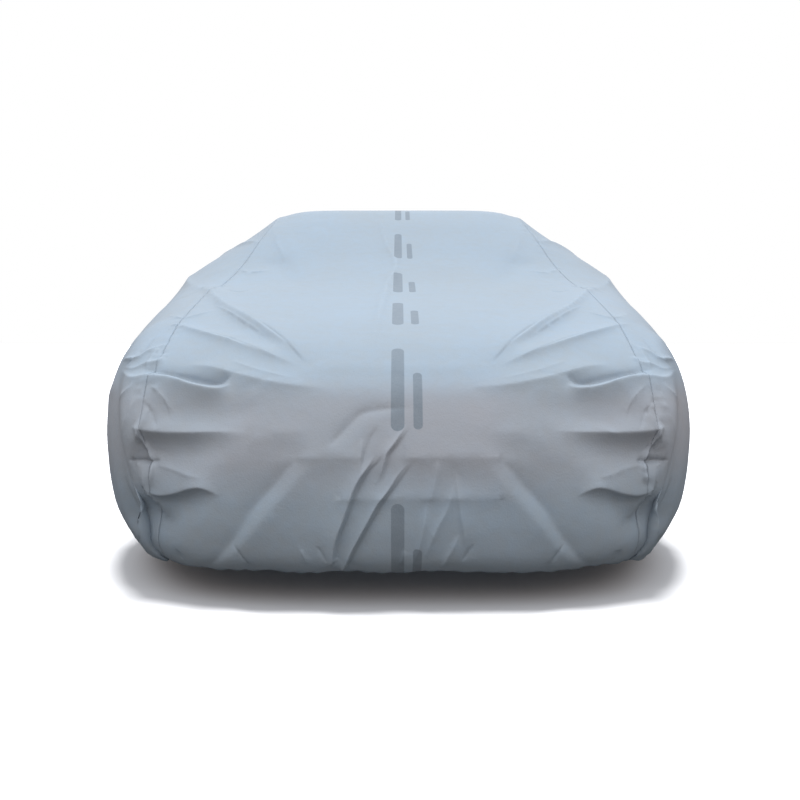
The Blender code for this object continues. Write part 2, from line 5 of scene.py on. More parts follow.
import bmesh
import bpy
import numpy as np
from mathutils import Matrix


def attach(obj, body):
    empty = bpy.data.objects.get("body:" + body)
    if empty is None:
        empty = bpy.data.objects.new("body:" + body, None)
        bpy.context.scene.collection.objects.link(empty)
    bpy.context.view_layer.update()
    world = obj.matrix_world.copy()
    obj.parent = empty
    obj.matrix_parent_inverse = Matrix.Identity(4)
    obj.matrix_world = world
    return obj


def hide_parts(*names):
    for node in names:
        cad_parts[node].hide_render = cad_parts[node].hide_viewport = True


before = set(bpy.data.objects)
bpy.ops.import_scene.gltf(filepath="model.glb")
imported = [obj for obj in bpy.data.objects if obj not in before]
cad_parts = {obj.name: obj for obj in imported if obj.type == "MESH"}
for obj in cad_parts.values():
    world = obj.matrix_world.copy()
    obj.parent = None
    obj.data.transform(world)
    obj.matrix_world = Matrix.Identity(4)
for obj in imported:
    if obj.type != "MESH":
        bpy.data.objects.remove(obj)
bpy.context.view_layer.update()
print("frame loaded:", ", ".join(sorted(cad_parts)))

# A place on the cloth is (run, lateral). Run is cloth length from the front hem down the middle.
# Lateral is 0 in the middle, 1 at the seam and 2 at the side hem, negative on the left.
# While the shape is worked out, a place is (out, along, up): from the middle, the nose and the road.
coverShape = {
    "roofUp": 1.445,
    "roofRestAlong": 2.45,
    "solidCloth": 0.0024,
    # The cloth from the middle to the seam, and from the seam to the hem.
    "centreHalfWidth": 0.62,
    "sideDrop": 1.15,
    # Down the middle: along, up.
    "middle": (
        (0.070, 0.205),
        (0.025, 0.240),
        (0.006, 0.300),
        (0.000, 0.390),
        (0.003, 0.450),
        (0.008, 0.505),
        (0.024, 0.565),
        (0.046, 0.620),
        (0.070, 0.665),
        (0.110, 0.705),
        (0.195, 0.763),
        (0.340, 0.826),
        (0.560, 0.893),
        (0.780, 0.951),
        (1.000, 1.020),
        (1.220, 1.115),
        (1.430, 1.230),
        (1.640, 1.345),
        (1.800, 1.413),
        (1.970, 1.440),
        (2.450, 1.445),
        (2.950, 1.427),
        (3.200, 1.390),
        (3.420, 1.310),
        (3.620, 1.180),
        (3.780, 1.040),
        (3.890, 0.920),
        (3.955, 0.800),
        (3.985, 0.660),
        (3.995, 0.500),
        (3.985, 0.370),
        (3.960, 0.270),
        (3.900, 0.207),
    ),
    "middleSteps": 1200,
    # How flat the centre panel is between its seams: run, power.
    "crown": (
        (0.0, 5.0),
        (0.3, 3.2),
        (0.8, 2.4),
        (1.8, 3.2),
        (2.5, 8.0),
        (3.6, 5.0),
        (4.3, 3.0),
        (5.4, 3.0),
    ),
    # The lines that shape each side, from the seam down to the hem: run, out, along, up.
    "seam": (
        (0.00, 0.615, 0.180, 0.207),
        (0.08, 0.628, 0.128, 0.255),
        (0.18, 0.634, 0.090, 0.350),
        (0.30, 0.640, 0.074, 0.470),
        (0.40, 0.655, 0.078, 0.575),
        (0.50, 0.655, 0.120, 0.665),
        (0.62, 0.648, 0.205, 0.735),
        (0.80, 0.654, 0.365, 0.818),
        (1.05, 0.662, 0.590, 0.894),
        (1.28, 0.664, 0.800, 0.955),
        (1.51, 0.648, 1.020, 1.012),
        (1.75, 0.622, 1.240, 1.098),
        (1.99, 0.592, 1.450, 1.215),
        (2.23, 0.568, 1.655, 1.319),
        (2.40, 0.568, 1.810, 1.377),
        (2.57, 0.572, 1.970, 1.401),
        (3.05, 0.578, 2.450, 1.406),
        (3.55, 0.574, 2.950, 1.386),
        (3.80, 0.574, 3.190, 1.347),
        (4.03, 0.582, 3.400, 1.280),
        (4.27, 0.592, 3.590, 1.145),
        (4.48, 0.606, 3.740, 1.005),
        (4.65, 0.616, 3.840, 0.890),
        (4.80, 0.622, 3.895, 0.765),
        (4.95, 0.625, 3.920, 0.620),
        (5.10, 0.625, 3.925, 0.475),
        (5.23, 0.620, 3.905, 0.350),
        (5.33, 0.612, 3.865, 0.255),
        (5.40, 0.600, 3.815, 0.209),
    ),
    "shoulder": (
        (0.00, 0.615, 0.180, 0.207),
        (0.08, 0.642, 0.152, 0.243),
        (0.18, 0.672, 0.128, 0.322),
        (0.30, 0.706, 0.134, 0.432),
        (0.40, 0.738, 0.166, 0.530),
        (0.50, 0.766, 0.222, 0.612),
        (0.62, 0.796, 0.310, 0.686),
        (0.80, 0.832, 0.450, 0.742),
        (1.05, 0.856, 0.660, 0.776),
        (1.28, 0.860, 0.860, 0.815),
        (1.51, 0.850, 1.060, 0.862),
        (1.75, 0.838, 1.270, 0.912),
        (1.99, 0.828, 1.480, 0.950),
        (2.23, 0.822, 1.680, 0.972),
        (2.57, 0.820, 2.000, 0.985),
        (3.05, 0.822, 2.460, 0.986),
        (3.55, 0.820, 2.940, 0.980),
        (3.80, 0.812, 3.160, 0.970),
        (4.03, 0.800, 3.340, 0.952),
        (4.27, 0.782, 3.505, 0.912),
        (4.48, 0.762, 3.625, 0.848),
        (4.65, 0.744, 3.705, 0.775),
        (4.80, 0.726, 3.765, 0.680),
        (4.95, 0.706, 3.812, 0.560),
        (5.10, 0.682, 3.845, 0.435),
        (5.23, 0.656, 3.855, 0.325),
        (5.33, 0.630, 3.845, 0.247),
        (5.40, 0.600, 3.815, 0.209),
    ),
    "waist": (
        (0.00, 0.615, 0.180, 0.207),
        (0.08, 0.656, 0.178, 0.230),
        (0.18, 0.704, 0.176, 0.282),
        (0.30, 0.754, 0.209, 0.362),
        (0.40, 0.795, 0.262, 0.426),
        (0.50, 0.833, 0.332, 0.470),
        (0.62, 0.868, 0.422, 0.500),
        (0.80, 0.897, 0.559, 0.520),
        (1.05, 0.908, 0.770, 0.535),
        (1.51, 0.900, 1.130, 0.560),
        (2.00, 0.896, 1.560, 0.580),
        (2.57, 0.894, 2.060, 0.590),
        (3.05, 0.896, 2.480, 0.590),
        (3.55, 0.898, 2.900, 0.590),
        (3.90, 0.894, 3.160, 0.585),
        (4.27, 0.872, 3.400, 0.565),
        (4.48, 0.848, 3.520, 0.540),
        (4.65, 0.820, 3.610, 0.505),
        (4.80, 0.788, 3.685, 0.455),
        (4.95, 0.752, 3.745, 0.395),
        (5.10, 0.712, 3.790, 0.325),
        (5.23, 0.672, 3.815, 0.265),
        (5.33, 0.636, 3.822, 0.228),
        (5.40, 0.600, 3.815, 0.209),
    ),
    "sill": (
        (0.00, 0.615, 0.180, 0.207),
        (0.08, 0.651, 0.191, 0.218),
        (0.18, 0.698, 0.210, 0.244),
        (0.30, 0.752, 0.268, 0.271),
        (0.40, 0.791, 0.330, 0.284),
        (0.50, 0.827, 0.399, 0.292),
        (0.62, 0.857, 0.488, 0.297),
        (0.80, 0.878, 0.618, 0.300),
        (1.05, 0.884, 0.826, 0.300),
        (1.51, 0.880, 1.190, 0.300),
        (2.00, 0.878, 1.610, 0.300),
        (2.57, 0.878, 2.090, 0.300),
        (3.05, 0.878, 2.490, 0.300),
        (3.55, 0.878, 2.870, 0.302),
        (3.90, 0.874, 3.110, 0.304),
        (4.27, 0.850, 3.340, 0.304),
        (4.48, 0.824, 3.460, 0.302),
        (4.65, 0.796, 3.550, 0.298),
        (4.80, 0.764, 3.625, 0.290),
        (4.95, 0.728, 3.690, 0.276),
        (5.10, 0.690, 3.742, 0.254),
        (5.23, 0.656, 3.780, 0.230),
        (5.33, 0.628, 3.802, 0.216),
        (5.40, 0.600, 3.815, 0.209),
    ),
    "hem": (
        (0.00, 0.615, 0.180, 0.207),
        (0.08, 0.636, 0.200, 0.206),
        (0.18, 0.670, 0.236, 0.205),
        (0.30, 0.716, 0.298, 0.204),
        (0.40, 0.750, 0.360, 0.203),
        (0.50, 0.780, 0.430, 0.202),
        (0.62, 0.806, 0.515, 0.201),
        (0.80, 0.826, 0.645, 0.200),
        (1.05, 0.834, 0.850, 0.200),
        (1.51, 0.832, 1.210, 0.200),
        (2.00, 0.830, 1.630, 0.200),
        (2.57, 0.830, 2.100, 0.200),
        (3.05, 0.830, 2.490, 0.200),
        (3.55, 0.830, 2.860, 0.202),
        (3.90, 0.826, 3.090, 0.204),
        (4.27, 0.802, 3.315, 0.206),
        (4.48, 0.776, 3.430, 0.207),
        (4.65, 0.750, 3.520, 0.208),
        (4.80, 0.722, 3.595, 0.208),
        (4.95, 0.692, 3.665, 0.208),
        (5.10, 0.662, 3.722, 0.209),
        (5.23, 0.636, 3.768, 0.209),
        (5.33, 0.616, 3.798, 0.209),
        (5.40, 0.600, 3.815, 0.209),
    ),
    # Where those lines lie from the seam to the hem. The side's curve starts from a line inside the seam.
    "sideKnots": (0.0, 0.34, 0.66, 0.87, 1.0),
    "insideSeam": {"lateral": 0.72, "knot": -0.17},
    # How sharply the cloth turns at the seam: run, share.
    "seamEdge": (
        (0.0, 0.0),
        (1.5, 0.0),
        (2.1, 1.0),
        (4.2, 1.0),
        (4.8, 0.3),
        (5.4, 0.0),
    ),
    # The mirror under the cloth, as a tent pole. Shift is out, along, up at its tip.
    "mirror": {
        "run": 2.24,
        "lateral": 1.29,
        "shift": (0.148, 0.0, 0.056),
        "reachFront": 1.35,
        "reachBack": 0.95,
        "reachUp": 0.34,
        "reachDown": 0.66,
        "tip": 0.06,
    },
}


def tangents(knots, values):
    # The slope of a smooth curve at each of its knots.
    step = np.diff(knots)[:, None]
    slope = np.diff(values, axis=0) / step
    inner = (slope[:-1] * step[1:] + slope[1:] * step[:-1]) / (step[1:] + step[:-1])
    return np.vstack([2 * slope[0] - inner[0], inner, 2 * slope[-1] - inner[-1]])


def hermite(low, high, lowSlope, highSlope, width, t):
    return (
        (2 * t**3 - 3 * t**2 + 1) * low
        + (t**3 - 2 * t**2 + t) * width * lowSlope
        + (3 * t**2 - 2 * t**3) * high
        + (t**3 - t**2) * width * highSlope
    )


def smoothCurve(knots, values, at):
    knots = np.asarray(knots, float)
    values = np.asarray(values, float).reshape(len(knots), -1)
    at = np.clip(np.asarray(at, float), knots[0], knots[-1])
    slopes = tangents(knots, values)
    i = np.clip(np.searchsorted(knots, at, side="right") - 1, 0, len(knots) - 2)
    width = (knots[i + 1] - knots[i])[:, None]
    t = (at - knots[i])[:, None] / width
    return hermite(values[i], values[i + 1], slopes[i], slopes[i + 1], width, t)


def column(rows, k):
    return [row[k] for row in rows]


def lengthAlong(points):
    return np.concatenate([[0], np.cumsum(np.linalg.norm(np.diff(points, axis=0), axis=1))])


def middleCurve():
    points = np.array(coverShape["middle"])
    chord = lengthAlong(points)
    fine = smoothCurve(chord, points, np.linspace(0, chord[-1], coverShape["middleSteps"] + 1))
    return np.column_stack([lengthAlong(fine), fine])


middleLine = middleCurve()
clothLength = middleLine[-1, 0]


def rail(name, run):
    rows = np.array(coverShape[name])
    knots = rows[:, 0] * clothLength / rows[-1, 0]
    return smoothCurve(knots, rows[:, 1:], run)


def centrePoints(run, out):
    middle = [np.interp(run, middleLine[:, 0], middleLine[:, k]) for k in (1, 2)]
    middle = np.column_stack([np.zeros(len(run))] + middle)
    seam = rail("seam", run)
    crown = coverShape["crown"]
    power = smoothCurve(column(crown, 0), column(crown, 1), run)[:, 0]
    places = middle + (seam - middle) * (np.abs(out) ** power)[:, None]
    places[:, 0] = seam[:, 0] * out
    return places


sideRails = ("seam", "shoulder", "waist", "sill", "hem")


def sidePoints(run, down):
    # Down is 0 at the seam and 1 at the hem.
    inside = coverShape["insideSeam"]
    rails = [centrePoints(run, np.full(len(run), inside["lateral"]))]
    rails += [rail(name, run) for name in sideRails]
    knots = np.array((inside["knot"],) + coverShape["sideKnots"])
    flat = np.stack(rails).reshape(len(knots), -1)
    slopes = tangents(knots, flat).reshape(len(knots), -1, 3)
    below = tangents(knots[1:], flat[1:])[0].reshape(-1, 3)
    edgeRows = coverShape["seamEdge"]
    edge = smoothCurve(column(edgeRows, 0), column(edgeRows, 1), run)
    slopes[1] += (below - slopes[1]) * np.clip(edge, 0, 1)
    places = np.empty((len(run), 3))
    for i in range(1, len(knots) - 1):
        here = (down >= knots[i]) & (down <= knots[i + 1])
        width = knots[i + 1] - knots[i]
        t = ((down[here] - knots[i]) / width)[:, None]
        low, high = rails[i][here], rails[i + 1][here]
        places[here] = hermite(low, high, slopes[i][here], slopes[i + 1][here], width, t)
    return places


def mirrorTent(run, out):
    # How much of the mirror's shift a place gets.
    mirror = coverShape["mirror"]
    along = run - mirror["run"]
    across = out - mirror["lateral"]
    along = along / np.where(along < 0, mirror["reachFront"], mirror["reachBack"])
    across = across / np.where(across < 0, mirror["reachUp"], mirror["reachDown"])
    away = np.sqrt(along**2 + across**2 + mirror["tip"] ** 2) - mirror["tip"]
    return np.clip(1 - away, 0, None) ** 1.5


def bodyPoints(run, lateral):
    run = np.asarray(run, float).ravel()
    lateral = np.asarray(lateral, float).ravel()
    out = np.abs(lateral)
    places = np.empty((len(run), 3))
    centre = out <= 1
    places[centre] = centrePoints(run[centre], out[centre])
    places[~centre] = sidePoints(run[~centre], out[~centre] - 1)
    places += mirrorTent(run, out)[:, None] * np.array(coverShape["mirror"]["shift"])
    places[:, 0] *= np.where(lateral < 0, -1, 1)
    return places


def unit(vectors):
    return vectors / (np.linalg.norm(vectors, axis=1, keepdims=True) + 1e-12)


def bodyNormals(run, lateral):
    step = 0.004
    ahead = bodyPoints(np.minimum(run + step, clothLength), lateral)
    ahead -= bodyPoints(np.maximum(run - step, 0), lateral)
    right = bodyPoints(run, np.minimum(lateral + step, 2))
    right -= bodyPoints(run, np.maximum(lateral - step, -2))
    return unit(np.cross(unit(right), ahead))


# Each fold is a ridge, or with a negative height a hollow, along its path over the cloth.
# It spreads to the left and the right of the path, seen from outside, and a tip near 0 is a crisp one.
# It dies out at both ends, unless it starts where the hem cuts it off.
# Its twin on the other side has that share of its height. The peak is where it stands highest.
# height, left, right, tip, twin, peak, start, path as (run, lateral)
mainFolds = (
    # Over the bonnet, from the foot of the screen.
    (0.02, 0.065, 0.028, 0.2, 0.9, 0.5, 0, ((1.692, -1.215), (1.112, -0.87), (0.888, -0.675), (0.734, -0.515),
        (0.594, -0.35))),
    (-0.01, 0.024, 0.04, 0.8, 0.9, 0.67, 0, ((1.098, -0.96), (0.912, -0.775), (0.78, -0.62), (0.664, -0.48))),
    (0.016, 0.05, 0.022, 0.15, 1.1, 0.5, 0, ((0.89, -1.065), (0.778, -0.87), (0.704, -0.7), (0.644, -0.56),
        (0.586, -0.405))),
    # The crisp crest on the lip of the bonnet, with a hollow on each side of it.
    (0.02, 0.016, 0.034, 0.12, 0.95, 0.57, 0, ((0.656, -1.365), (0.556, -1.11), (0.542, -1), (0.532, -0.9),
        (0.514, -0.82), (0.504, -0.755), (0.504, -0.7), (0.522, -0.66))),
    (-0.022, 0.014, 0.012, 0.45, 0.95, 0.55, 0, ((0.588, -1.065), (0.572, -0.97), (0.552, -0.86),
        (0.536, -0.765), (0.536, -0.7), (0.548, -0.665))),
    (-0.018, 0.062, 0.05, 0.8, 0.95, 0.45, 0, ((0.446, -0.975), (0.436, -0.855), (0.432, -0.75),
        (0.44, -0.635), (0.458, -0.5))),
    (0.013, 0.06, 0.026, 0.15, 1, 0.5, 0, ((0.602, -0.875), (0.586, -0.775), (0.564, -0.695), (0.54, -0.6),
        (0.522, -0.51), (0.512, -0.415), (0.506, -0.265))),
    # Slack rolls over the lower corner, pinched at the seam.
    (0.014, 0.034, 0.024, 0.12, 1, 0.4, 0, ((0.4, -1.03), (0.39, -0.99), (0.386, -0.92), (0.386, -0.82),
        (0.388, -0.725), (0.39, -0.58))),
    (-0.025, 0.04, 0.046, 0.7, 1, 0.3, 0, ((0.35, -1.035), (0.34, -0.97), (0.338, -0.86), (0.346, -0.745),
        (0.358, -0.595))),
    (0.015, 0.04, 0.015, 0.12, 0.9, 0.5, 0, ((0.238, -1.02), (0.228, -0.96), (0.234, -0.89), (0.246, -0.83),
        (0.252, -0.78), (0.246, -0.74), (0.228, -0.69))),
    (-0.023, 0.036, 0.042, 0.7, 0.9, 0.36, 0, ((0.194, -1.24), (0.178, -1.01), (0.188, -0.95), (0.2, -0.895),
        (0.212, -0.84), (0.22, -0.78), (0.216, -0.71))),
    (0.013, 0.009, 0.009, 0.05, 0.9, 0.6, 0, ((0.404, -1.015), (0.382, -1.01), (0.346, -1), (0.312, -0.985),
        (0.284, -0.985), (0.232, -1.005))),
    (-0.013, 0.014, 0.01, 0.1, 1, 0.55, 0, ((0.322, -1.11), (0.314, -1.035), (0.31, -0.995), (0.314, -0.95))),
    (0.009, 0.014, 0.01, 0.12, 0.8, 0.67, 0, ((0.658, -1.34), (0.596, -1.13), (0.606, -1.045), (0.616, -1),
        (0.656, -0.995))),
    # The broad diagonal on each side of the front, from the hem up to the end of the bumper.
    (-0.009, 0.026, 0.014, 0.4, 0.9, 0.5, 0.1, ((0.02, -0.785), (0.084, -0.695), (0.14, -0.625),
        (0.19, -0.575), (0.226, -0.525), (0.256, -0.48), (0.292, -0.435), (0.326, -0.375))),
    (0.008, 0.024, 0.044, 0.3, 0.9, 0.5, 0, ((0.026, -0.755), (0.088, -0.645), (0.146, -0.565), (0.192, -0.5),
        (0.23, -0.445), (0.264, -0.4), (0.298, -0.355), (0.33, -0.3))),
    # The lower edge of the bumper under the cloth, and the fainter lines round it.
    (0.006, 0.05, 0.028, 0.12, 0, 0.5, 0, ((0.326, -0.39), (0.326, -0.33), (0.326, -0.185), (0.326, -0.13))),
    (0.006, 0.05, 0.028, 0.12, 0, 0.5, 0, ((0.326, 0.02), (0.326, 0.08), (0.326, 0.33), (0.326, 0.39))),
    # The pair of sharp folds left of the middle.
    (-0.007, 0.005, 0.024, 0.2, 0, 0.45, 0.2, ((0.076, -0.24), (0.134, -0.22), (0.184, -0.19),
        (0.228, -0.165), (0.266, -0.135), (0.296, -0.105), (0.316, -0.075), (0.346, -0.045))),
    (0.014, 0.032, 0.005, 0.12, 0, 0.5, 0.2, ((0.068, -0.26), (0.122, -0.245), (0.172, -0.215),
        (0.216, -0.19), (0.25, -0.17), (0.278, -0.145), (0.304, -0.115), (0.33, -0.09))),
    (-0.007, 0.005, 0.03, 0.2, 0, 0.5, 0.25, ((0.05, -0.195), (0.098, -0.16), (0.14, -0.125), (0.178, -0.09),
        (0.216, -0.055), (0.25, -0.015), (0.286, 0.025), (0.322, 0.065))),
    (0.012, 0.018, 0.005, 0.12, 0, 0.42, 0.25, ((0.042, -0.22), (0.094, -0.185), (0.136, -0.15),
        (0.176, -0.115), (0.214, -0.08), (0.246, -0.04), (0.284, 0), (0.316, 0.045))),
    # Soft hollows and ridges down the screen.
    (0.005, 0.026, 0.03, 0.6, 0.8, 0.5, 0, ((2.256, -0.955), (2.022, -0.83), (1.838, -0.72),
        (1.568, -0.605))),
    (-0.011, 0.05, 0.045, 1, 1, 0.67, 0, ((1.784, -0.965), (1.768, -0.855), (1.68, -0.72), (1.312, -0.52))),
    # A crease from the packing, down the screen and the bonnet.
    (0.008, 0.018, 0.02, 0.3, 0, 0.5, 0, ((2.288, -0.16), (2.114, -0.125), (1.904, -0.075), (1.702, -0.015),
        (1.44, -0.06), (1.08, -0.085), (0.818, -0.095), (0.642, -0.11))),
    # The cloth pulled out by the mirror, on each side.
    (0.015, 0.065, 0.05, 0.12, 0.9, 0.33, 0, ((2.28, -1.29), (2.6, -1.3), (2.95, -1.32), (3.35, -1.33))),
    (0.015, 0.06, 0.045, 0.12, 1.1, 0.33, 0, ((2.3, -1.34), (2.6, -1.49), (2.95, -1.66), (3.3, -1.84))),
    (0.014, 0.05, 0.045, 0.12, 0.8, 0.33, 0, ((2.18, -1.34), (1.9, -1.5), (1.6, -1.68), (1.3, -1.84))),
    (-0.01, 0.07, 0.06, 1, 1, 0.33, 0, ((2.38, -1.22), (2.75, -1.15), (3.1, -1.12), (3.5, -1.12))),
    (-0.009, 0.06, 0.06, 1, 1, 0.33, 0, ((2.4, -1.4), (2.75, -1.48), (3.1, -1.55), (3.45, -1.66))),
    # Slack along the sides, up from the hem.
    (0.013, 0.055, 0.032, 0.12, 0.9, 0.33, 0, ((1.08, -1.97), (1.22, -1.82), (1.42, -1.66), (1.62, -1.5))),
    (0.009, 0.032, 0.05, 0.12, 1, 0.33, 0, ((2.02, -1.97), (2.08, -1.8), (2.22, -1.62), (2.4, -1.48))),
    (0.013, 0.055, 0.034, 0.12, 1.1, 0.33, 0, ((3.45, -1.97), (3.58, -1.8), (3.8, -1.6), (4.02, -1.42))),
    (0.014, 0.05, 0.04, 0.12, 0.9, 0.33, 0, ((4.3, -1.96), (4.42, -1.76), (4.45, -1.52), (4.38, -1.28))),
    # The tail, where the cloth is slack over each corner.
    (0.015, 0.044, 0.028, 0.15, 0.9, 0.33, 0, ((4.6, -1.36), (4.72, -1.05), (4.78, -0.8), (4.82, -0.52))),
    (-0.008, 0.026, 0.03, 0.8, 0.9, 0.5, 0, ((4.66, -1.3), (4.78, -1.02), (4.84, -0.78), (4.88, -0.52))),
    (0.016, 0.028, 0.05, 0.15, 1, 0.67, 0, ((5.06, -0.5), (5.04, -0.78), (5.03, -1.02), (5.04, -1.4))),
    (0.012, 0.028, 0.036, 0.12, 0.8, 0.33, 0, ((5.36, -0.62), (5.24, -0.48), (5.1, -0.34), (4.96, -0.2))),
    (0.012, 0.055, 0.032, 0.12, 1.1, 0.33, 0, ((3.78, -0.98), (4.02, -0.72), (4.26, -0.5), (4.52, -0.34))),
    (0.008, 0.022, 0.018, 0.12, 0, 0.67, 0, ((5.38, 0.18), (5.26, 0.12), (5.12, 0.05), (4.96, -0.02))),
    # The hollow in the side panel, behind the lower rolls.
    (-0.021, 0.075, 0.04, 1, 0.9, 0.5, 0, ((0.25, -1.71), (0.19, -1.45), (0.158, -1.015), (0.174, -0.945))),
)

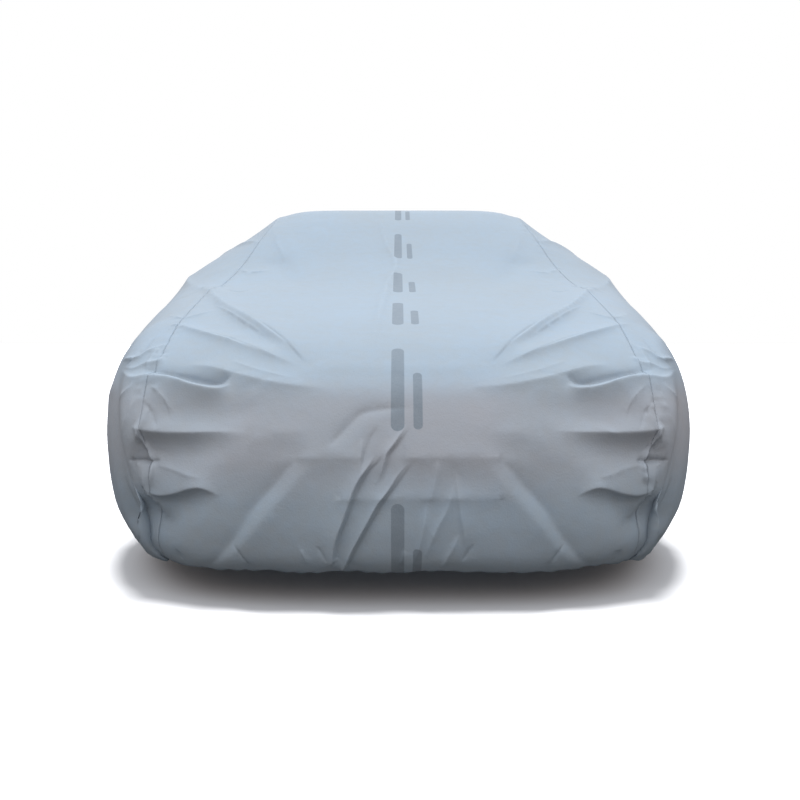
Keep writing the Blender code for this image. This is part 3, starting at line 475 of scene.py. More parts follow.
# Finer folds, which the solids are too coarse for.
fineFolds = (
    # Two sharp folds beside the main pair, and the faint lines round the bumper.
    (-0.005, 0.004, 0.014, 0.2, 0, 0.55, 0, ((0.254, -0.07), (0.284, -0.05), (0.31, -0.04), (0.332, -0.03),
        (0.358, 0), (0.4, 0.045))),
    (0.008, 0.015, 0.004, 0.12, 0, 0.6, 0, ((0.252, -0.09), (0.28, -0.07), (0.312, -0.055), (0.334, -0.045),
        (0.36, -0.015), (0.404, 0.03))),
    (0.004, 0.026, 0.014, 0.3, 0, 0.5, 0, ((0.226, -0.225), (0.226, -0.145), (0.228, 0.31), (0.228, 0.39))),
    (-0.006, 0.014, 0.016, 0.3, 0, 0.45, 0, ((0.35, -0.265), (0.376, -0.23), (0.408, -0.185), (0.436, -0.14),
        (0.448, -0.055), (0.448, 0.05))),
    (0.004, 0.022, 0.02, 0.3, 1, 0.5, 0, ((0.34, -0.58), (0.366, -0.535), (0.386, -0.485), (0.386, -0.41),
        (0.386, -0.325))),
    (-0.002, 0.012, 0.01, 0.6, 1, 0.5, 0, ((0.338, -0.52), (0.338, -0.465), (0.338, -0.395),
        (0.338, -0.345))),
    # Upright lines below the bumper's edge.
    (0.005, 0.016, 0.009, 0.3, 0, 0.5, 0, ((0.322, 0.145), (0.29, 0.145), (0.256, 0.135), (0.214, 0.12))),
    (0.006, 0.02, 0.008, 0.25, 0, 0.5, 0, ((0.296, 0.215), (0.234, 0.23), (0.188, 0.24), (0.14, 0.255),
        (0.08, 0.265))),
    (0.005, 0.014, 0.009, 0.3, 0, 0.5, 0, ((0.272, 0.215), (0.206, 0.19), (0.156, 0.15), (0.11, 0.12),
        (0.068, 0.105))),
    (0.006, 0.014, 0.007, 0.3, 0, 0.6, 0, ((0.222, 0.105), (0.174, 0.1), (0.124, 0.085), (0.062, 0.065))),
    (0.005, 0.012, 0.008, 0.3, 0, 0.5, 0, ((0.14, 0.235), (0.102, 0.21), (0.068, 0.185), (0.022, 0.165))),
    # A pucker of the hem, and a faint fold above the sharp pair.
    (-0.004, 0.006, 0.005, 0.2, 0.9, 0.5, 0, ((0.11, -0.65), (0.086, -0.625), (0.054, -0.605), (0, -0.595))),
    (-0.004, 0.008, 0.012, 0.4, 0, 0.5, 0, ((0.286, -0.145), (0.314, -0.135), (0.346, -0.12), (0.378, -0.1),
        (0.404, -0.075))),
    (0.0035, 0.009, 0.006, 0.4, 0, 0.5, 0, ((0.374, -0.14), (0.344, -0.14), (0.314, -0.145), (0.286, -0.15))),
    # A facet and scratches at the corner, beside the lip.
    (0.01, 0.014, 0.009, 0.1, 0.9, 0.5, 0, ((0.714, -1.33), (0.64, -1.135), (0.67, -1.06), (0.712, -1.025))),
    (0.003, 0.008, 0.007, 0.3, 0.8, 0.5, 0, ((0.552, -1.015), (0.506, -1.025), (0.464, -1.045),
        (0.432, -1.06))),
    (0.003, 0.008, 0.007, 0.3, 0.8, 0.5, 0, ((0.53, -1.07), (0.5, -1.115), (0.496, -1.3))),
    (0.003, 0.008, 0.007, 0.3, 0.8, 0.5, 0, ((0.48, -1.02), (0.448, -1.045), (0.418, -1.075),
        (0.384, -1.12))),
    # Ticks along the seam.
    (0.005, 0.008, 0.007, 0.3, 0.8, 0.6, 0, ((1.086, -1.125), (0.934, -1.015), (0.952, -0.945),
        (1.03, -0.895))),
    (0.004, 0.008, 0.007, 0.3, 0.8, 0.5, 0, ((1.356, -1.11), (1.406, -1.055), (1.4, -1.005), (1.474, -0.95))),
    # Fine lines beside the lip and the upper roll, and across the bonnet.
    (0.003, 0.009, 0.008, 0.3, 0.9, 0.33, 0, ((0.608, -0.68), (0.57, -0.585), (0.546, -0.485),
        (0.532, -0.385))),
    (0.003, 0.01, 0.008, 0.3, 0.9, 0.33, 0, ((0.304, -0.965), (0.294, -0.895), (0.28, -0.82),
        (0.274, -0.745))),
    (0.002, 0.01, 0.012, 0.6, 0, 0.5, 0, ((0.59, -0.395), (0.578, -0.105), (0.578, 0.165), (0.596, 0.43))),
    # A notch of the hem, more ticks along the seam, and a crease in the screen.
    (-0.005, 0.006, 0.006, 0.2, 0.9, 0.5, 0, ((0.082, -0.91), (0.056, -0.895), (0.028, -0.875))),
    (0.004, 0.008, 0.007, 0.3, 0.8, 0.5, 0, ((1.722, -1.02), (1.658, -0.95), (1.646, -0.87), (1.69, -0.81))),
    (-0.003, 0.007, 0.007, 0.3, 0.8, 0.5, 0, ((1.35, -0.93), (1.312, -0.85), (1.348, -0.8))),
    (0.004, 0.014, 0.012, 0.3, 0.8, 0.5, 0, ((2.306, -1.025), (2.01, -0.9), (1.866, -0.8), (1.752, -0.73))),
    # Over the wheels the cloth falls back, and hangs from the body between them.
    (-0.014, 0.15, 0.12, 1, 1, 0.5, 0, ((1.02, -1.55), (1.04, -1.75), (1.05, -1.96))),
    (-0.014, 0.13, 0.15, 1, 0.9, 0.5, 0, ((3.92, -1.55), (3.94, -1.75), (3.95, -1.96))),
    (0.011, 0.06, 0.034, 0.15, 0.9, 0.45, 0, ((0.74, -1.94), (0.8, -1.72), (0.92, -1.52), (1.08, -1.36))),
    (0.01, 0.034, 0.06, 0.15, 1.1, 0.45, 0, ((1.42, -1.96), (1.4, -1.74), (1.3, -1.52), (1.22, -1.38))),
    (0.012, 0.06, 0.03, 0.15, 0.8, 0.5, 0, ((1.72, -1.95), (1.86, -1.76), (2.02, -1.6), (2.16, -1.46))),
    (0.011, 0.06, 0.036, 0.15, 1, 0.4, 0, ((2.52, -1.97), (2.56, -1.78), (2.66, -1.62), (2.8, -1.5))),
    (0.01, 0.034, 0.054, 0.15, 0.9, 0.4, 0, ((3.12, -1.97), (3.1, -1.8), (3.02, -1.66), (2.9, -1.54))),
    (0.011, 0.04, 0.06, 0.15, 1, 0.45, 0, ((4.12, -1.96), (4.1, -1.74), (4.02, -1.54), (3.9, -1.38))),
    (0.011, 0.036, 0.07, 0.25, 1, 0.5, 0, ((0.86, -1.3), (1.2, -1.36), (1.6, -1.37), (1.98, -1.32))),
    (0.011, 0.036, 0.07, 0.25, 0.9, 0.5, 0, ((2.62, -1.36), (3.1, -1.4), (3.6, -1.4), (4.1, -1.34))),
    # Under the side windows, and in front of the mirror.
    (-0.007, 0.05, 0.06, 0.9, 1, 0.5, 0, ((2.5, -1.08), (3, -1.06), (3.5, -1.06), (3.95, -1.1))),
    (0.009, 0.026, 0.044, 0.15, 1, 0.45, 0, ((2.3, -1.22), (2.22, -1.14), (2.1, -1.06), (1.96, -0.99))),
    (0.008, 0.024, 0.034, 0.15, 0.9, 0.45, 0, ((2.12, -1.26), (1.96, -1.26), (1.76, -1.22), (1.58, -1.14))),
    # The tail and the roof.
    (0.012, 0.044, 0.03, 0.15, 1, 0.4, 0, ((5.3, -0.98), (5.16, -0.86), (5, -0.7), (4.84, -0.5))),
    (0.01, 0.022, 0.04, 0.15, 0, 0.5, 0, ((4.56, -0.3), (4.72, -0.1), (4.86, 0.16), (4.94, 0.42))),
    (0.009, 0.024, 0.036, 0.15, 0, 0.5, 0, ((4.98, 0.62), (5.06, 0.34), (5.12, 0.02), (5.14, -0.3))),
    (-0.008, 0.06, 0.06, 1, 1, 0.5, 0, ((4.2, -0.86), (4.4, -0.7), (4.58, -0.52))),
    (0.006, 0.04, 0.03, 0.2, 0.8, 0.5, 0, ((2.52, -0.92), (2.78, -0.62), (3.02, -0.3), (3.16, -0.02))),
    (0.006, 0.03, 0.04, 0.2, 0, 0.5, 0, ((3.66, 0.9), (3.44, 0.58), (3.24, 0.2), (3.14, -0.24))),
    # Fine lines beside the folds of the bonnet, the lip and the corner.
    (-0.004, 0.005, 0.008, 0.15, 0.9, 0.5, 0, ((0.848, -0.63), (0.764, -0.54), (0.676, -0.455),
        (0.596, -0.38))),
    (0.004, 0.008, 0.005, 0.2, 0.9, 0.5, 0, ((1.084, -0.9), (0.948, -0.775), (0.84, -0.665), (0.748, -0.57))),
    (-0.003, 0.005, 0.008, 0.2, 0.9, 0.5, 0, ((0.762, -0.83), (0.718, -0.72), (0.666, -0.615),
        (0.624, -0.52))),
    (-0.004, 0.006, 0.007, 0.2, 0.9, 0.5, 0, ((0.572, -0.935), (0.56, -0.845), (0.544, -0.765),
        (0.536, -0.715))),
    (-0.0035, 0.006, 0.006, 0.2, 0.8, 0.5, 0, ((0.624, -1.215), (0.648, -1.11), (0.714, -1.08),
        (0.78, -1.065))),
    (0.004, 0.008, 0.006, 0.2, 0.8, 0.5, 0, ((0.57, -1.025), (0.63, -1.035), (0.682, -1.025), (0.726, -1))),
    (0.004, 0.007, 0.006, 0.25, 0.8, 0.5, 0, ((0.51, -0.985), (0.486, -0.935), (0.458, -0.9),
        (0.426, -0.89))),
    (-0.004, 0.007, 0.008, 0.25, 0.8, 0.5, 0, ((0.468, -1.005), (0.44, -0.965), (0.414, -0.945),
        (0.39, -0.935))),
    # Tucks where the hem is gathered.
    (-0.003, 0.006, 0.005, 0.2, 0, 0.5, 0, ((0.108, -0.32), (0.09, -0.3), (0.062, -0.28))),
    (0.003, 0.007, 0.005, 0.2, 0, 0.5, 0, ((0.102, -0.385), (0.08, -0.37), (0.054, -0.36))),
    (-0.003, 0.006, 0.005, 0.2, 0, 0.5, 0, ((0.114, 0.295), (0.09, 0.27), (0.062, 0.25))),
    (0.003, 0.007, 0.005, 0.2, 0, 0.5, 0, ((0.098, 0.02), (0.076, 0.015), (0.05, 0.005))),
)


# Small creases that nobody placed: where, how many, their direction from the run, length, height and spread.
smallCreases = {
    "seed": 7,
    "heightShare": (0.5, 1.3),
    "hollows": 0.35,
    "spreadShare": (0.7, 1.5),
    "bend": 0.03,
    "path": (-0.5, -0.2, 0.15, 0.5),
    "tip": 0.4,
    "peak": 0.4,
    "fields": (
        {"run": (0.05, 0.50), "side": (-0.95, 0.95), "count": 46, "turn": (-35, 35), "length": (0.07, 0.18),
         "height": 0.0010, "spread": 0.009},
        {"run": (0.30, 0.60), "side": (-1.0, -0.5), "count": 16, "turn": (60, 110), "length": (0.06, 0.15),
         "height": 0.0014, "spread": 0.008},
        {"run": (0.30, 0.60), "side": (0.5, 1.0), "count": 16, "turn": (-110, -60), "length": (0.06, 0.15),
         "height": 0.0014, "spread": 0.008},
        {"run": (0.60, 2.60), "side": (-0.95, 0.95), "count": 34, "turn": (-75, 75), "length": (0.10, 0.30),
         "height": 0.0022, "spread": 0.016},
        {"run": (2.60, 5.00), "side": (-0.95, 0.95), "count": 44, "turn": (-75, 75), "length": (0.12, 0.34),
         "height": 0.0026, "spread": 0.018},
        {"run": (0.60, 4.90), "side": (-1.90, -1.05), "count": 70, "turn": (-60, 60), "length": (0.14, 0.40),
         "height": 0.0040, "spread": 0.020},
        {"run": (0.60, 4.90), "side": (1.05, 1.90), "count": 70, "turn": (-60, 60), "length": (0.14, 0.40),
         "height": 0.0040, "spread": 0.020},
        {"run": (0.70, 4.90), "side": (-1.99, -1.88), "count": 26, "turn": (55, 125), "length": (0.12, 0.30),
         "height": 0.0050, "spread": 0.012},
        {"run": (0.70, 4.90), "side": (1.88, 1.99), "count": 26, "turn": (55, 125), "length": (0.12, 0.30),
         "height": 0.0050, "spread": 0.012},
        {"run": (4.50, 5.38), "side": (-1.00, 1.00), "count": 30, "turn": (-50, 50), "length": (0.12, 0.30),
         "height": 0.0040, "spread": 0.014},
    ),
}


def scatterCreases():
    pick = np.random.default_rng(smallCreases["seed"])
    hollows, tip, peak = (smallCreases[name] for name in ("hollows", "tip", "peak"))
    found = []
    for field in smallCreases["fields"]:
        for _ in range(field["count"]):
            run = pick.uniform(*field["run"])
            side = pick.uniform(*field["side"])
            turn = math.radians(pick.uniform(*field["turn"]))
            length = pick.uniform(*field["length"])
            height = field["height"] * pick.uniform(*smallCreases["heightShare"])
            height *= pick.choice((-1, 1), p=(hollows, 1 - hollows))
            spread = field["spread"] * pick.uniform(*smallCreases["spreadShare"])
            width = coverShape["centreHalfWidth"] if abs(side) <= 1 else 1.0
            path = []
            for share in smallCreases["path"]:
                bend = pick.normal(0, smallCreases["bend"]) * length
                alongRun = run + (share * length * math.cos(turn) - bend * math.sin(turn))
                across = side + (share * length * math.sin(turn) + bend * math.cos(turn)) / width
                path.append((min(max(alongRun, 0), clothLength), min(max(across, -2), 2)))
            found.append((height, spread, spread, tip, 0, peak, 0, tuple(path)))
    return tuple(found)


foldShape = {
    "steps": 8,  # pieces of line between two points of a path
    "reach": 3.5,  # how far a fold is felt, in spreads
    "endSpread": 0.4,  # how wide it is where it dies out
    "steepness": 1.4,
    "swellPower": 1.5,  # keeps its ends from rising steeply
}


def foldLine(path, peak, start):
    # Points along the path, and how much of the fold stands there: 0 where it dies out, 1 at its peak.
    at = np.linspace(0, len(path) - 1, (len(path) - 1) * foldShape["steps"] + 1)
    spots = smoothCurve(np.arange(len(path)), path, at)
    share = start + (1 - start) * at / (len(path) - 1)
    swell = np.clip(np.sin(np.pi * share ** (math.log(0.5) / math.log(peak))), 0, 1)
    power = foldShape["swellPower"]
    return bodyPoints(spots[:, 0], spots[:, 1]), swell**power * (1 + power - power * swell)


def layOut(rows):
    # The folds of a table with their twins, each as its line on the smooth cover.
    laid = []
    for height, left, right, tip, twin, peak, start, path in rows:
        line, stands = foldLine(path, peak, start)
        fold = {"tip": tip, "stands": stands}
        laid.append(fold | {"line": line, "height": height, "left": left, "right": right})
        if twin:
            mirrored = {"line": line * (-1, 1, 1), "height": height * twin, "left": right, "right": left}
            laid.append(fold | mirrored)
    return laid


def nearLine(places, line, reach):
    # Which places lie in the box round the line.
    return ((places > line.min(axis=0) - reach) & (places < line.max(axis=0) + reach)).all(axis=1)


# Painted highlight along a crisp crest and painted shade along a crisp hollow: how far from its line, up to
# which tip, and at what height fully.
paintedCreaseLight = {"reach": 0.0032, "softTip": 0.4, "fullHeight": 0.010}


def foldHeight(fold, places, normals):
    # How far the fold lifts each place, and how much painted highlight (on a crest) and painted shade (in a
    # hollow) it gets there.
    line, stands = fold["line"], fold["stands"]
    near = nearLine(places, line, foldShape["reach"] * max(fold["left"], fold["right"]))
    height, crease = np.zeros((2, len(places)))
    if not near.any():
        return height, crease
    places, normals = places[near], normals[near]
    nearest = np.full(len(places), np.inf)
    found, wearAndPaintedLight = np.zeros((2, len(places)))
    tip, end = fold["tip"], foldShape["endSpread"]
    for i in range(len(line) - 1):
        step = line[i + 1] - line[i]
        length = np.linalg.norm(step) + 1e-9
        share = np.clip((places - line[i]) @ step / length**2, 0, 1)
        away = places - line[i] - share[:, None] * step
        distance = np.linalg.norm(away, axis=1)
        left = (away * np.cross(normals, step / length)).sum(axis=1)
        standing = stands[i] + share * (stands[i + 1] - stands[i])
        spread = np.where(left > 0, fold["left"], fold["right"]) * (end + (1 - end) * standing)
        shape = np.exp(-foldShape["steepness"] * (np.sqrt((distance / spread) ** 2 + tip**2) - tip))
        closer = distance < nearest
        nearest = np.where(closer, distance, nearest)
        found = np.where(closer, standing * shape, found)
        wearAndPaintedLight = np.where(closer, standing * np.exp(-((distance / paintedCreaseLight["reach"]) ** 2)), wearAndPaintedLight)
    height[near] = fold["height"] * found
    # Crisp crests get a painted highlight, and crisp hollows get painted shade.
    crisp = max(1 - tip / paintedCreaseLight["softTip"], 0)
    crease[near] = wearAndPaintedLight * crisp * min(max(fold["height"] / paintedCreaseLight["fullHeight"], -1), 1)
    return height, crease


placedFolds = layOut(mainFolds + fineFolds)
looseCreases = layOut(scatterCreases())
print(len(placedFolds), "folds and", len(looseCreases), "small creases laid out")


# The gathers that the elastic makes, as long and short waves that drift in and out of step.
gathers = {
    "waves": (
        {"length": 0.290, "height": 0.0026, "reach": 0.060},
        {"length": 0.052, "height": 0.0018, "reach": 0.026},
    ),
    "sideStretch": 0.7,
    "drift": 1.6,
    "driftPitch": 0.31,
    "driftStart": 0.8,
}


def sideDepth(run):
    rails = [rail(name, run) for name in sideRails]
    return sum(np.linalg.norm(low - high, axis=1) for high, low in zip(rails[:-1], rails[1:]))


def hemWave(run, lateral, places):
    out = np.abs(lateral)
    fromEnds = np.minimum(run, clothLength - run)
    fromHem = np.where(out > 1, np.clip(2 - out, 0, 1) * sideDepth(run), fromEnds)
    alongHem = places[:, 0] + gathers["sideStretch"] * places[:, 1]
    height = np.zeros(len(places))
    for wave in gathers["waves"]:
        turn = 2 * np.pi / wave["length"]
        drift = gathers["drift"] * np.sin(gathers["driftPitch"] * turn * alongHem + gathers["driftStart"])
        swing = np.sin(turn * alongHem + drift)
        height += wave["height"] * swing * np.exp(-((fromHem / wave["reach"]) ** 2))
    return height


seamLine = {
    "groove": 0.0016,
    "grooveReach": 0.0035,
    "pucker": 0.0016,
    "puckerLength": 0.037,
    "puckerReach": 0.028,
    # How the puckers drift, and how they come and go: share, change, pitch. The sides are out of step.
    "drift": 2.1,
    "driftPitch": 0.23,
    "sideStep": 0.7,
    "comeAndGo": (0.55, 0.45, 2.9),
    "comeAndGoSideStep": 1.7,
}


def seamHeight(run, lateral):
    out = np.abs(lateral)
    halfWidth = rail("seam", run)[:, 0]
    away = np.where(out > 1, np.clip(out - 1, 0, 1) * sideDepth(run), np.clip(1 - out, 0, 1) * halfWidth)
    side = np.sign(lateral)
    turn = 2 * np.pi / seamLine["puckerLength"]
    drift = seamLine["drift"] * np.sin(seamLine["driftPitch"] * turn * run + side)
    swing = np.sin(turn * run + drift + seamLine["sideStep"] * side)
    level, change, pitch = seamLine["comeAndGo"]
    share = level + change * np.sin(pitch * run + seamLine["comeAndGoSideStep"] * side)
    pucker = seamLine["pucker"] * swing * share * np.exp(-((away / seamLine["puckerReach"]) ** 2))
    return pucker - seamLine["groove"] * np.exp(-((away / seamLine["grooveReach"]) ** 2))


def coverPoints(run, lateral):
    run = np.asarray(run, float).ravel()
    lateral = np.asarray(lateral, float).ravel()
    places = bodyPoints(run, lateral)
    normals = bodyNormals(run, lateral)
    height = hemWave(run, lateral, places) + seamHeight(run, lateral)
    creases = np.zeros(len(places))
    for fold in placedFolds + looseCreases:
        lifted, crease = foldHeight(fold, places, normals)
        height += lifted
        creases += crease
    return places + height[:, None] * normals, creases


clothPanels = {
    "thickness": 0.0012,
    # Rows along the cloth: start, end, spacing.
    "rows": (
        (0.00, 0.72, 0.020),
        (0.72, 1.30, 0.022),
        (1.30, 2.60, 0.025),
        (2.60, 3.70, 0.034),
        (3.70, clothLength, 0.024),
    ),
    # Columns across it, and extra ones beside a seam, as shares of the panel's width.
    "centreColumns": 60,
    "sideColumns": 34,
    "besideSeam": (0.006, 0.013, 0.024),
    # Each pass halves the edges beside the folds, down to the finest, by up to the allowance.
    "passes": 3,
    "finest": 0.0024,
    "allowance": 1.4,
    # The edge length that a fold wants: share of its tip and of the distance, and more where it is gentle.
    "foldShare": 0.62,
    "awayShare": 0.6,
    "gentle": (1, 4),
    "steep": 0.5,
    "foldReach": 1.5,
}


def rowRuns():
    parts = []
    for start, end, spacing in clothPanels["rows"]:
        parts.append(np.linspace(start, end, round((end - start) / spacing), endpoint=False))
    return np.append(np.concatenate(parts), clothLength)


def deselectAll():
    bpy.ops.object.select_all(action="DESELECT")


def tooLong(edges):
    # Which edges are too long for the fold they lie beside. A seam's edges come out alike on both its panels.
    ends = np.array([[vert.co[:2] for vert in edge.verts] for edge in edges], float)
    places = bodyPoints(ends[:, :, 0], ends[:, :, 1]).reshape(-1, 2, 3)
    length = np.linalg.norm(places[:, 1] - places[:, 0], axis=1)
    middle = places.mean(axis=1)
    wanted = np.full(len(edges), np.inf)
    least, most = clothPanels["gentle"]
    for fold in placedFolds:
        spread = min(fold["left"], fold["right"])
        wide = max(fold["left"], fold["right"])
        near = np.flatnonzero(nearLine(middle, fold["line"], 2 * wide))
        if not len(near):
            continue
        away = np.linalg.norm(middle[near, None] - fold["line"][None], axis=2).min(axis=1)
        gentle = min(max(clothPanels["steep"] * spread / abs(fold["height"]), least), most)
        size = clothPanels["foldShare"] * gentle * (fold["tip"] * spread + clothPanels["awayShare"] * away)
        size[away > clothPanels["foldReach"] * wide] = np.inf
        wanted[near] = np.minimum(wanted[near], size)
    allowance = clothPanels["allowance"]
    return length > allowance * np.maximum(wanted, allowance * clothPanels["finest"])


def chartGrid(columns):
    # The panel laid out flat as run and lateral, cut finer where the folds are.
    runs = rowRuns()
    chart = bmesh.new()
    corners = [[chart.verts.new((run, lateral, 0)) for lateral in columns] for run in runs]
    for low, high in zip(corners[:-1], corners[1:]):
        for a, b, c, d in zip(low[:-1], low[1:], high[1:], high[:-1]):
            chart.faces.new((a, b, c, d))
    for _ in range(clothPanels["passes"]):
        edges = list(chart.edges)
        halved = [edge for edge, long in zip(edges, tooLong(edges)) if long]
        bmesh.ops.subdivide_edges(chart, edges=halved, cuts=1, use_grid_fill=True)
    return chart


def makePanel(name, columns):
    chart = chartGrid(columns)
    mesh = bpy.data.meshes.new(name)
    chart.to_mesh(mesh)
    chart.free()
    count = len(mesh.vertices)
    flat = np.empty(count * 3)
    mesh.vertices.foreach_get("co", flat)
    run, lateral = flat.reshape(count, 3)[:, :2].astype(float).T
    origin = np.array((0, coverShape["roofRestAlong"], coverShape["roofUp"] - coverShape["solidCloth"]))
    places, creases = coverPoints(run, lateral)
    mesh.vertices.foreach_set("co", (places - origin).ravel())
    # The creases attribute carries painted highlight along crisp crests and painted shade along crisp
    # hollows.
    mesh.attributes.new("creases", "FLOAT", "POINT").data.foreach_set("value", np.clip(creases, -1, 1))
    # The UV map holds metres of cloth: across from the middle, and along from the front hem.
    out = np.abs(lateral)
    across = coverShape["centreHalfWidth"] * np.minimum(out, 1)
    across += coverShape["sideDrop"] * np.clip(out - 1, 0, 1)
    across *= np.sign(lateral)
    corner = np.empty(len(mesh.loops), int)
    mesh.loops.foreach_get("vertex_index", corner)
    uv = mesh.uv_layers.new(name="cloth")
    uv.data.foreach_set("uv", np.column_stack([across[corner], run[corner]]).ravel())
    shape = bmesh.new()
    shape.from_mesh(mesh)
    bmesh.ops.remove_doubles(shape, verts=shape.verts, dist=1e-5)
    shape.to_mesh(mesh)
    shape.free()
    panel = bpy.data.objects.new(name, mesh)
    bpy.context.scene.collection.objects.link(panel)
    mesh.shade_smooth()
    deselectAll()
    panel.select_set(True)
    bpy.context.view_layer.objects.active = panel
    wall = panel.modifiers.new("cloth", "SOLIDIFY")
    wall.thickness = clothPanels["thickness"]
    wall.offset = -1
    bpy.ops.object.modifier_apply(modifier=wall.name)
    triangles = sum(len(face.vertices) - 2 for face in panel.data.polygons)
    print(name, "made with", triangles, "triangles")
    return panel


def panelColumns(low, high, count):
    columns = list(np.linspace(low, high, count + 1))
    for share in clothPanels["besideSeam"]:
        if abs(low) == 1:
            columns.append(low + share)
        if abs(high) == 1:
            columns.append(high - share)
    return sorted(columns)


class Shade:
    # Wraps a socket, so that shader maths reads as plain expressions.
    def __init__(self, tree, socket):
        self.tree = tree
        self.socket = socket

    def maths(self, operation, *values):
        node = self.tree.nodes.new("ShaderNodeMath")
        node.operation = operation
        for i, value in enumerate(values):
            if isinstance(value, Shade):
                self.tree.links.new(value.socket, node.inputs[i])
            else:
                node.inputs[i].default_value = value
        return Shade(self.tree, node.outputs[0])

    def __add__(self, other):
        return self.maths("ADD", self, other)

    __radd__ = __add__

    def __sub__(self, other):
        return self.maths("SUBTRACT", self, other)

    def __rsub__(self, other):
        return self.maths("SUBTRACT", other, self)

    def __mul__(self, other):
        return self.maths("MULTIPLY", self, other)

    __rmul__ = __mul__

    def size(self):
        return self.maths("ABSOLUTE", self)

    def root(self):
        return self.maths("SQRT", self)

    def atLeast(self, low):
        return self.maths("MAXIMUM", self, low)

    def atMost(self, high):
        return self.maths("MINIMUM", self, high)


class NodeBoard:
    # A node tree, with one method that adds any node.
    def __init__(self, tree):
        self.tree = tree

    def node(self, kind, settings=None, inputs=None, output=0):
        made = self.tree.nodes.new(kind)
        for key, value in (settings or {}).items():
            if key == "stops":
                ramp = made.color_ramp
                while len(ramp.elements) < len(value):
                    ramp.elements.new(1.0)
                for element, (position, color) in zip(ramp.elements, value):
                    element.position = position
                    element.color = color
            else:
                setattr(made, key, value)
        for key, value in (inputs or {}).items():
            if isinstance(value, Shade):
                self.tree.links.new(value.socket, made.inputs[key])
            else:
                made.inputs[key].default_value = value
        return Shade(self.tree, made.outputs[output])

    def smoothStep(self, value, low, high):
        ends = {"Value": value, "From Min": low, "From Max": high}
        return self.node("ShaderNodeMapRange", {"interpolation_type": "SMOOTHSTEP"}, ends)

    def blend(self, share, first, second, kind="MIX"):
        settings = {"data_type": "RGBA", "blend_type": kind}
        return self.node("ShaderNodeMix", settings, {0: share, 6: first, 7: second}, output=2)


class Finish(NodeBoard):
    # A material.
    def __init__(self, name):
        self.material = bpy.data.materials.new(name)
        self.material.use_nodes = True
        super().__init__(self.material.node_tree)
        self.surface = self.tree.nodes["Principled BSDF"]

    def link(self, name, value):
        if isinstance(value, Shade):
            self.tree.links.new(value.socket, self.surface.inputs[name])
        else:
            self.surface.inputs[name].default_value = value


membrane = {
    "color": (0.306, 0.372, 0.434, 1.0),
    "roughness": 0.62,
    "specular": 0.35,
    # How much paler a crisp crest is painted as a highlight, and how much darker a crisp hollow is painted as
    # shade.
    "paintedHighlight": 0.22,
    "paintedShade": 0.30,
    # Mottling: size of the spots per metre, and how much it changes the tone.
    "cloudy": (3.0, 0.10),
    "mottled": (34.0, 0.07),
    "fibrous": (240.0, 0.09),
    "detail": 3.0,
    "tint": 0.10,
    # The relief of the cloth: how much the mottling counts beside the fibres, strength, depth.
    "mottledRelief": 2.0,
    "reliefStrength": 0.5,
    "reliefDepth": 0.0010,
}

# Painted shade: a patchy greyer, less blue band round the bumper: how far up from the road it begins, is
# full, thins and ends.
paintedBumperShade = {
    "from": (0.36, 0.52),
    "to": (0.62, 0.72),
    "color": (0.370, 0.365, 0.385, 1.0),
    "share": 0.45,
    "patchy": 1.0,
}

# A plain printed mark, repeated down the middle: a long bar and a short one beside it, with round ends.
# Each bar is (from the middle, along from the start of its mark, half width, half length).
marks = {
    "pitch": 0.457,
    "first": 0.38,
    "bars": ((-0.002, 0.150, 0.016, 0.140), (0.046, 0.096, 0.011, 0.082)),
    "edge": 0.0012,
    "color": (0.175, 0.215, 0.255, 1.0),
    "strength": 0.80,
    "wearAndPaintedLight": 0.3,
}


def printedMarks(finish, where):
    # How much of the printed mark covers the cloth: 1 inside a bar, 0 outside.
    across = finish.node("ShaderNodeSeparateXYZ", inputs={"Vector": where}, output=0)
    along = finish.node("ShaderNodeSeparateXYZ", inputs={"Vector": where}, output=1)
    start = along.maths("WRAP", along - marks["first"], marks["pitch"], 0.0)
    edge = marks["edge"]
    bars = []
    for middle, centre, halfWidth, halfLength in marks["bars"]:
        sideways = (across - middle).size()
        beyond = ((start - centre).size() - (halfLength - halfWidth)).atLeast(0.0)
        away = (sideways * sideways + beyond * beyond).root()
        bars.append(finish.smoothStep(away, halfWidth + edge, halfWidth - edge))
    longBar, shortBar = bars
    return longBar.atLeast(shortBar)


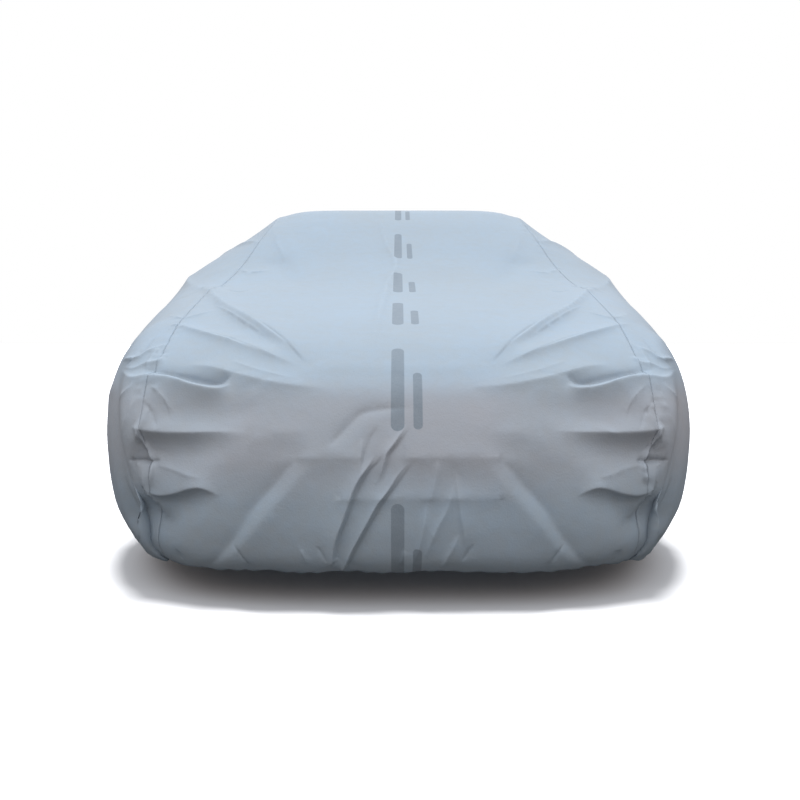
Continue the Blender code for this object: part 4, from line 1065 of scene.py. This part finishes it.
def membraneCloth():
    finish = Finish("coverMembrane")
    onCloth = finish.node("ShaderNodeUVMap", {"uv_map": "cloth"})
    where = finish.node("ShaderNodeTexCoord", output="Object")
    names = ("cloudy", "mottled", "fibrous")
    noises = []
    for name in names:
        inputs = {"Vector": where, "Scale": membrane[name][0], "Detail": membrane["detail"]}
        noises.append(finish.node("ShaderNodeTexNoise", inputs=inputs) - 0.5)
    cloudy, mottled, fibrous = noises
    creases = finish.node("ShaderNodeAttribute", {"attribute_name": "creases"}, output="Fac")
    # Painted highlight on crisp crests and painted shade in crisp hollows, read from the creases attribute.
    tone = 1 + creases.atLeast(0.0) * membrane["paintedHighlight"] + creases.atMost(0.0) * membrane["paintedShade"]
    for name, noise in zip(names, noises):
        tone = tone + noise * membrane[name][1]
    tint = (cloudy + mottled) * membrane["tint"]
    toned = finish.node("ShaderNodeCombineColor", inputs={0: tone - tint, 1: tone, 2: tone + tint})
    base = finish.blend(1.0, membrane["color"], toned, "MULTIPLY")
    # A patchy band of painted shade round the bumper, greyer and less blue than the cloth.
    up = finish.node("ShaderNodeSeparateXYZ", inputs={"Vector": where}, output=2) + coverShape["roofUp"]
    above = finish.smoothStep(up, paintedBumperShade["from"][0], paintedBumperShade["from"][1])
    below = finish.smoothStep(up, paintedBumperShade["to"][1], paintedBumperShade["to"][0])
    bumperShadeShare = above * below * (paintedBumperShade["share"] + cloudy * paintedBumperShade["patchy"])
    bumperShaded = finish.blend(bumperShadeShare, base, paintedBumperShade["color"])
    ink = printedMarks(finish, onCloth) * (marks["strength"] + (mottled + fibrous) * marks["wearAndPaintedLight"])
    finish.link("Base Color", finish.blend(ink, bumperShaded, marks["color"]))
    finish.link("Roughness", membrane["roughness"])
    finish.link("Specular IOR Level", membrane["specular"])
    relief = {
        "Height": fibrous + mottled * membrane["mottledRelief"],
        "Strength": membrane["reliefStrength"],
        "Distance": membrane["reliefDepth"],
    }
    finish.link("Normal", finish.node("ShaderNodeBump", inputs=relief))
    return finish.material


centrePanel = makePanel("centrePanelCloth", panelColumns(-1, 1, clothPanels["centreColumns"]))
sidePanelLeft = makePanel("sidePanelLeftCloth", panelColumns(-2, -1, clothPanels["sideColumns"]))
sidePanelRight = makePanel("sidePanelRightCloth", panelColumns(1, 2, clothPanels["sideColumns"]))

cloth = membraneCloth()
# The size that each panel is cut from, and its area, both flat.
sheets = {
    "centre_panel": {"panel": centrePanel, "flat": (1.32, 5.42), "area": 6.67},
    "side_panel_left": {"panel": sidePanelLeft, "flat": (4.3, 1.25), "area": 4.37},
    "side_panel_right": {"panel": sidePanelRight, "flat": (4.3, 1.25), "area": 4.37},
}
for node, sheet in sheets.items():
    panel = sheet["panel"]
    panel.data.materials.append(cloth)
    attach(panel, "root")
    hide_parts(node)
print("cloth finished")

studio = {
    "hemUp": 0.200,
    "floorBelowHem": 0.075,
    "floorSize": 400,
    "floorColor": (0.52, 0.52, 0.53, 1.0),
    "floorLight": 7.5,
    "floorLightSpread": 17.0,
    # The soft light all round: height of the direction from -1 to 1, colour, strength.
    "sky": (
        (-1.0, (0.96, 1.00, 1.05), 0.30),
        (-0.1, (0.98, 1.00, 1.03), 0.32),
        (0.0, (1.12, 1.00, 0.94), 0.32),
        (0.15, (1.16, 1.00, 0.92), 0.66),
        (0.4, (1.12, 1.00, 0.95), 1.22),
        (0.7, (0.97, 1.00, 1.04), 1.78),
        (1.0, (0.91, 1.00, 1.09), 2.05),
    ),
    "besideSky": (0.04, 0.03, 0.02, 1.0),  # what is left of it straight to the left and the right
}


def addFloor():
    level = studio["hemUp"] - studio["floorBelowHem"] - coverShape["roofUp"]
    deselectAll()
    bpy.ops.mesh.primitive_plane_add(size=studio["floorSize"], location=(0, 0, level))
    floor = bpy.context.object
    floor.name = "studioFloor"
    # The pale floor would otherwise light the folds from below.
    floor.visible_diffuse = False
    floor.visible_glossy = False
    paint = Finish("studioFloorPaint")
    paint.link("Base Color", studio["floorColor"])
    paint.link("Roughness", 1.0)
    paint.link("Specular IOR Level", 0.0)
    floor.data.materials.append(paint.material)
    bpy.ops.object.transform_apply(location=True, rotation=True, scale=True)
    return floor


def addFloorLight(floor):
    # It lights the floor alone, so that the floor is white and the cover's shadow shows.
    bpy.ops.object.light_add(type="SUN", location=(0, 0, 4))
    lamp = bpy.context.object
    lamp.name = "floorSoftbox"
    lamp.data.energy = studio["floorLight"]
    lamp.data.angle = math.radians(studio["floorLightSpread"])
    lit = bpy.data.collections.new("litFloor")
    lit.objects.link(floor)
    lamp.light_linking.receiver_collection = lit


def addSky():
    world = bpy.data.worlds.new("studioSky")
    bpy.context.scene.world = world
    world.use_nodes = True
    sky = NodeBoard(world.node_tree)
    direction = sky.node("ShaderNodeTexCoord", output="Generated")
    across = sky.node("ShaderNodeSeparateXYZ", inputs={"Vector": direction}, output="X")
    up = sky.node("ShaderNodeSeparateXYZ", inputs={"Vector": direction}, output="Z")
    brightest = max(strength * max(color) for _, color, strength in studio["sky"])
    stops = []
    for level, color, strength in studio["sky"]:
        stops.append(((level + 1) / 2, [part * strength / brightest for part in color] + [1.0]))
    height = sky.node("ShaderNodeMapRange", inputs={"Value": up, "From Min": -1.0})
    light = sky.node("ShaderNodeValToRGB", {"stops": stops}, {0: height})
    low = 1 - up
    light = sky.blend(across * across * low * low, light, studio["besideSky"], "MULTIPLY")
    glow = sky.node("ShaderNodeBackground", inputs={"Color": light, "Strength": brightest})
    # The camera sees plain white instead.
    backdrop = sky.node("ShaderNodeBackground", inputs={"Color": (1, 1, 1, 1)})
    toCamera = sky.node("ShaderNodeLightPath", output="Is Camera Ray")
    seen = sky.node("ShaderNodeMixShader", inputs={0: toCamera, 1: glow, 2: backdrop})
    sky.tree.links.new(seen.socket, sky.tree.nodes["World Output"].inputs["Surface"])
    bpy.context.scene.view_settings.view_transform = "Standard"


# The camera that fits the photograph: level, with its lengths in pixels of the picture or in metres.
photoCamera = {
    "focalPixels": 764.0,
    "imagePixels": 800.0,
    "middleColumn": 398.5,
    "levelRow": 342.0,
    "aheadOfNose": 1.86,
    "up": 0.786,
}


def addCamera():
    place = (0, -coverShape["roofRestAlong"] - photoCamera["aheadOfNose"],
             photoCamera["up"] - coverShape["roofUp"] + coverShape["solidCloth"])
    bpy.ops.object.camera_add(location=place, rotation=(math.radians(90), 0, 0))
    camera = bpy.context.object
    camera.name = "photoCamera"
    half = photoCamera["imagePixels"] / 2
    camera.data.angle = 2 * math.atan(half / photoCamera["focalPixels"])
    camera.data.shift_x = (half - photoCamera["middleColumn"]) / photoCamera["imagePixels"]
    camera.data.shift_y = (photoCamera["levelRow"] - half) / photoCamera["imagePixels"]
    camera.data.clip_end = studio["floorSize"] / 2
    bpy.context.scene.camera = camera


addFloorLight(addFloor())
addSky()
addCamera()
print("studio and camera placed")
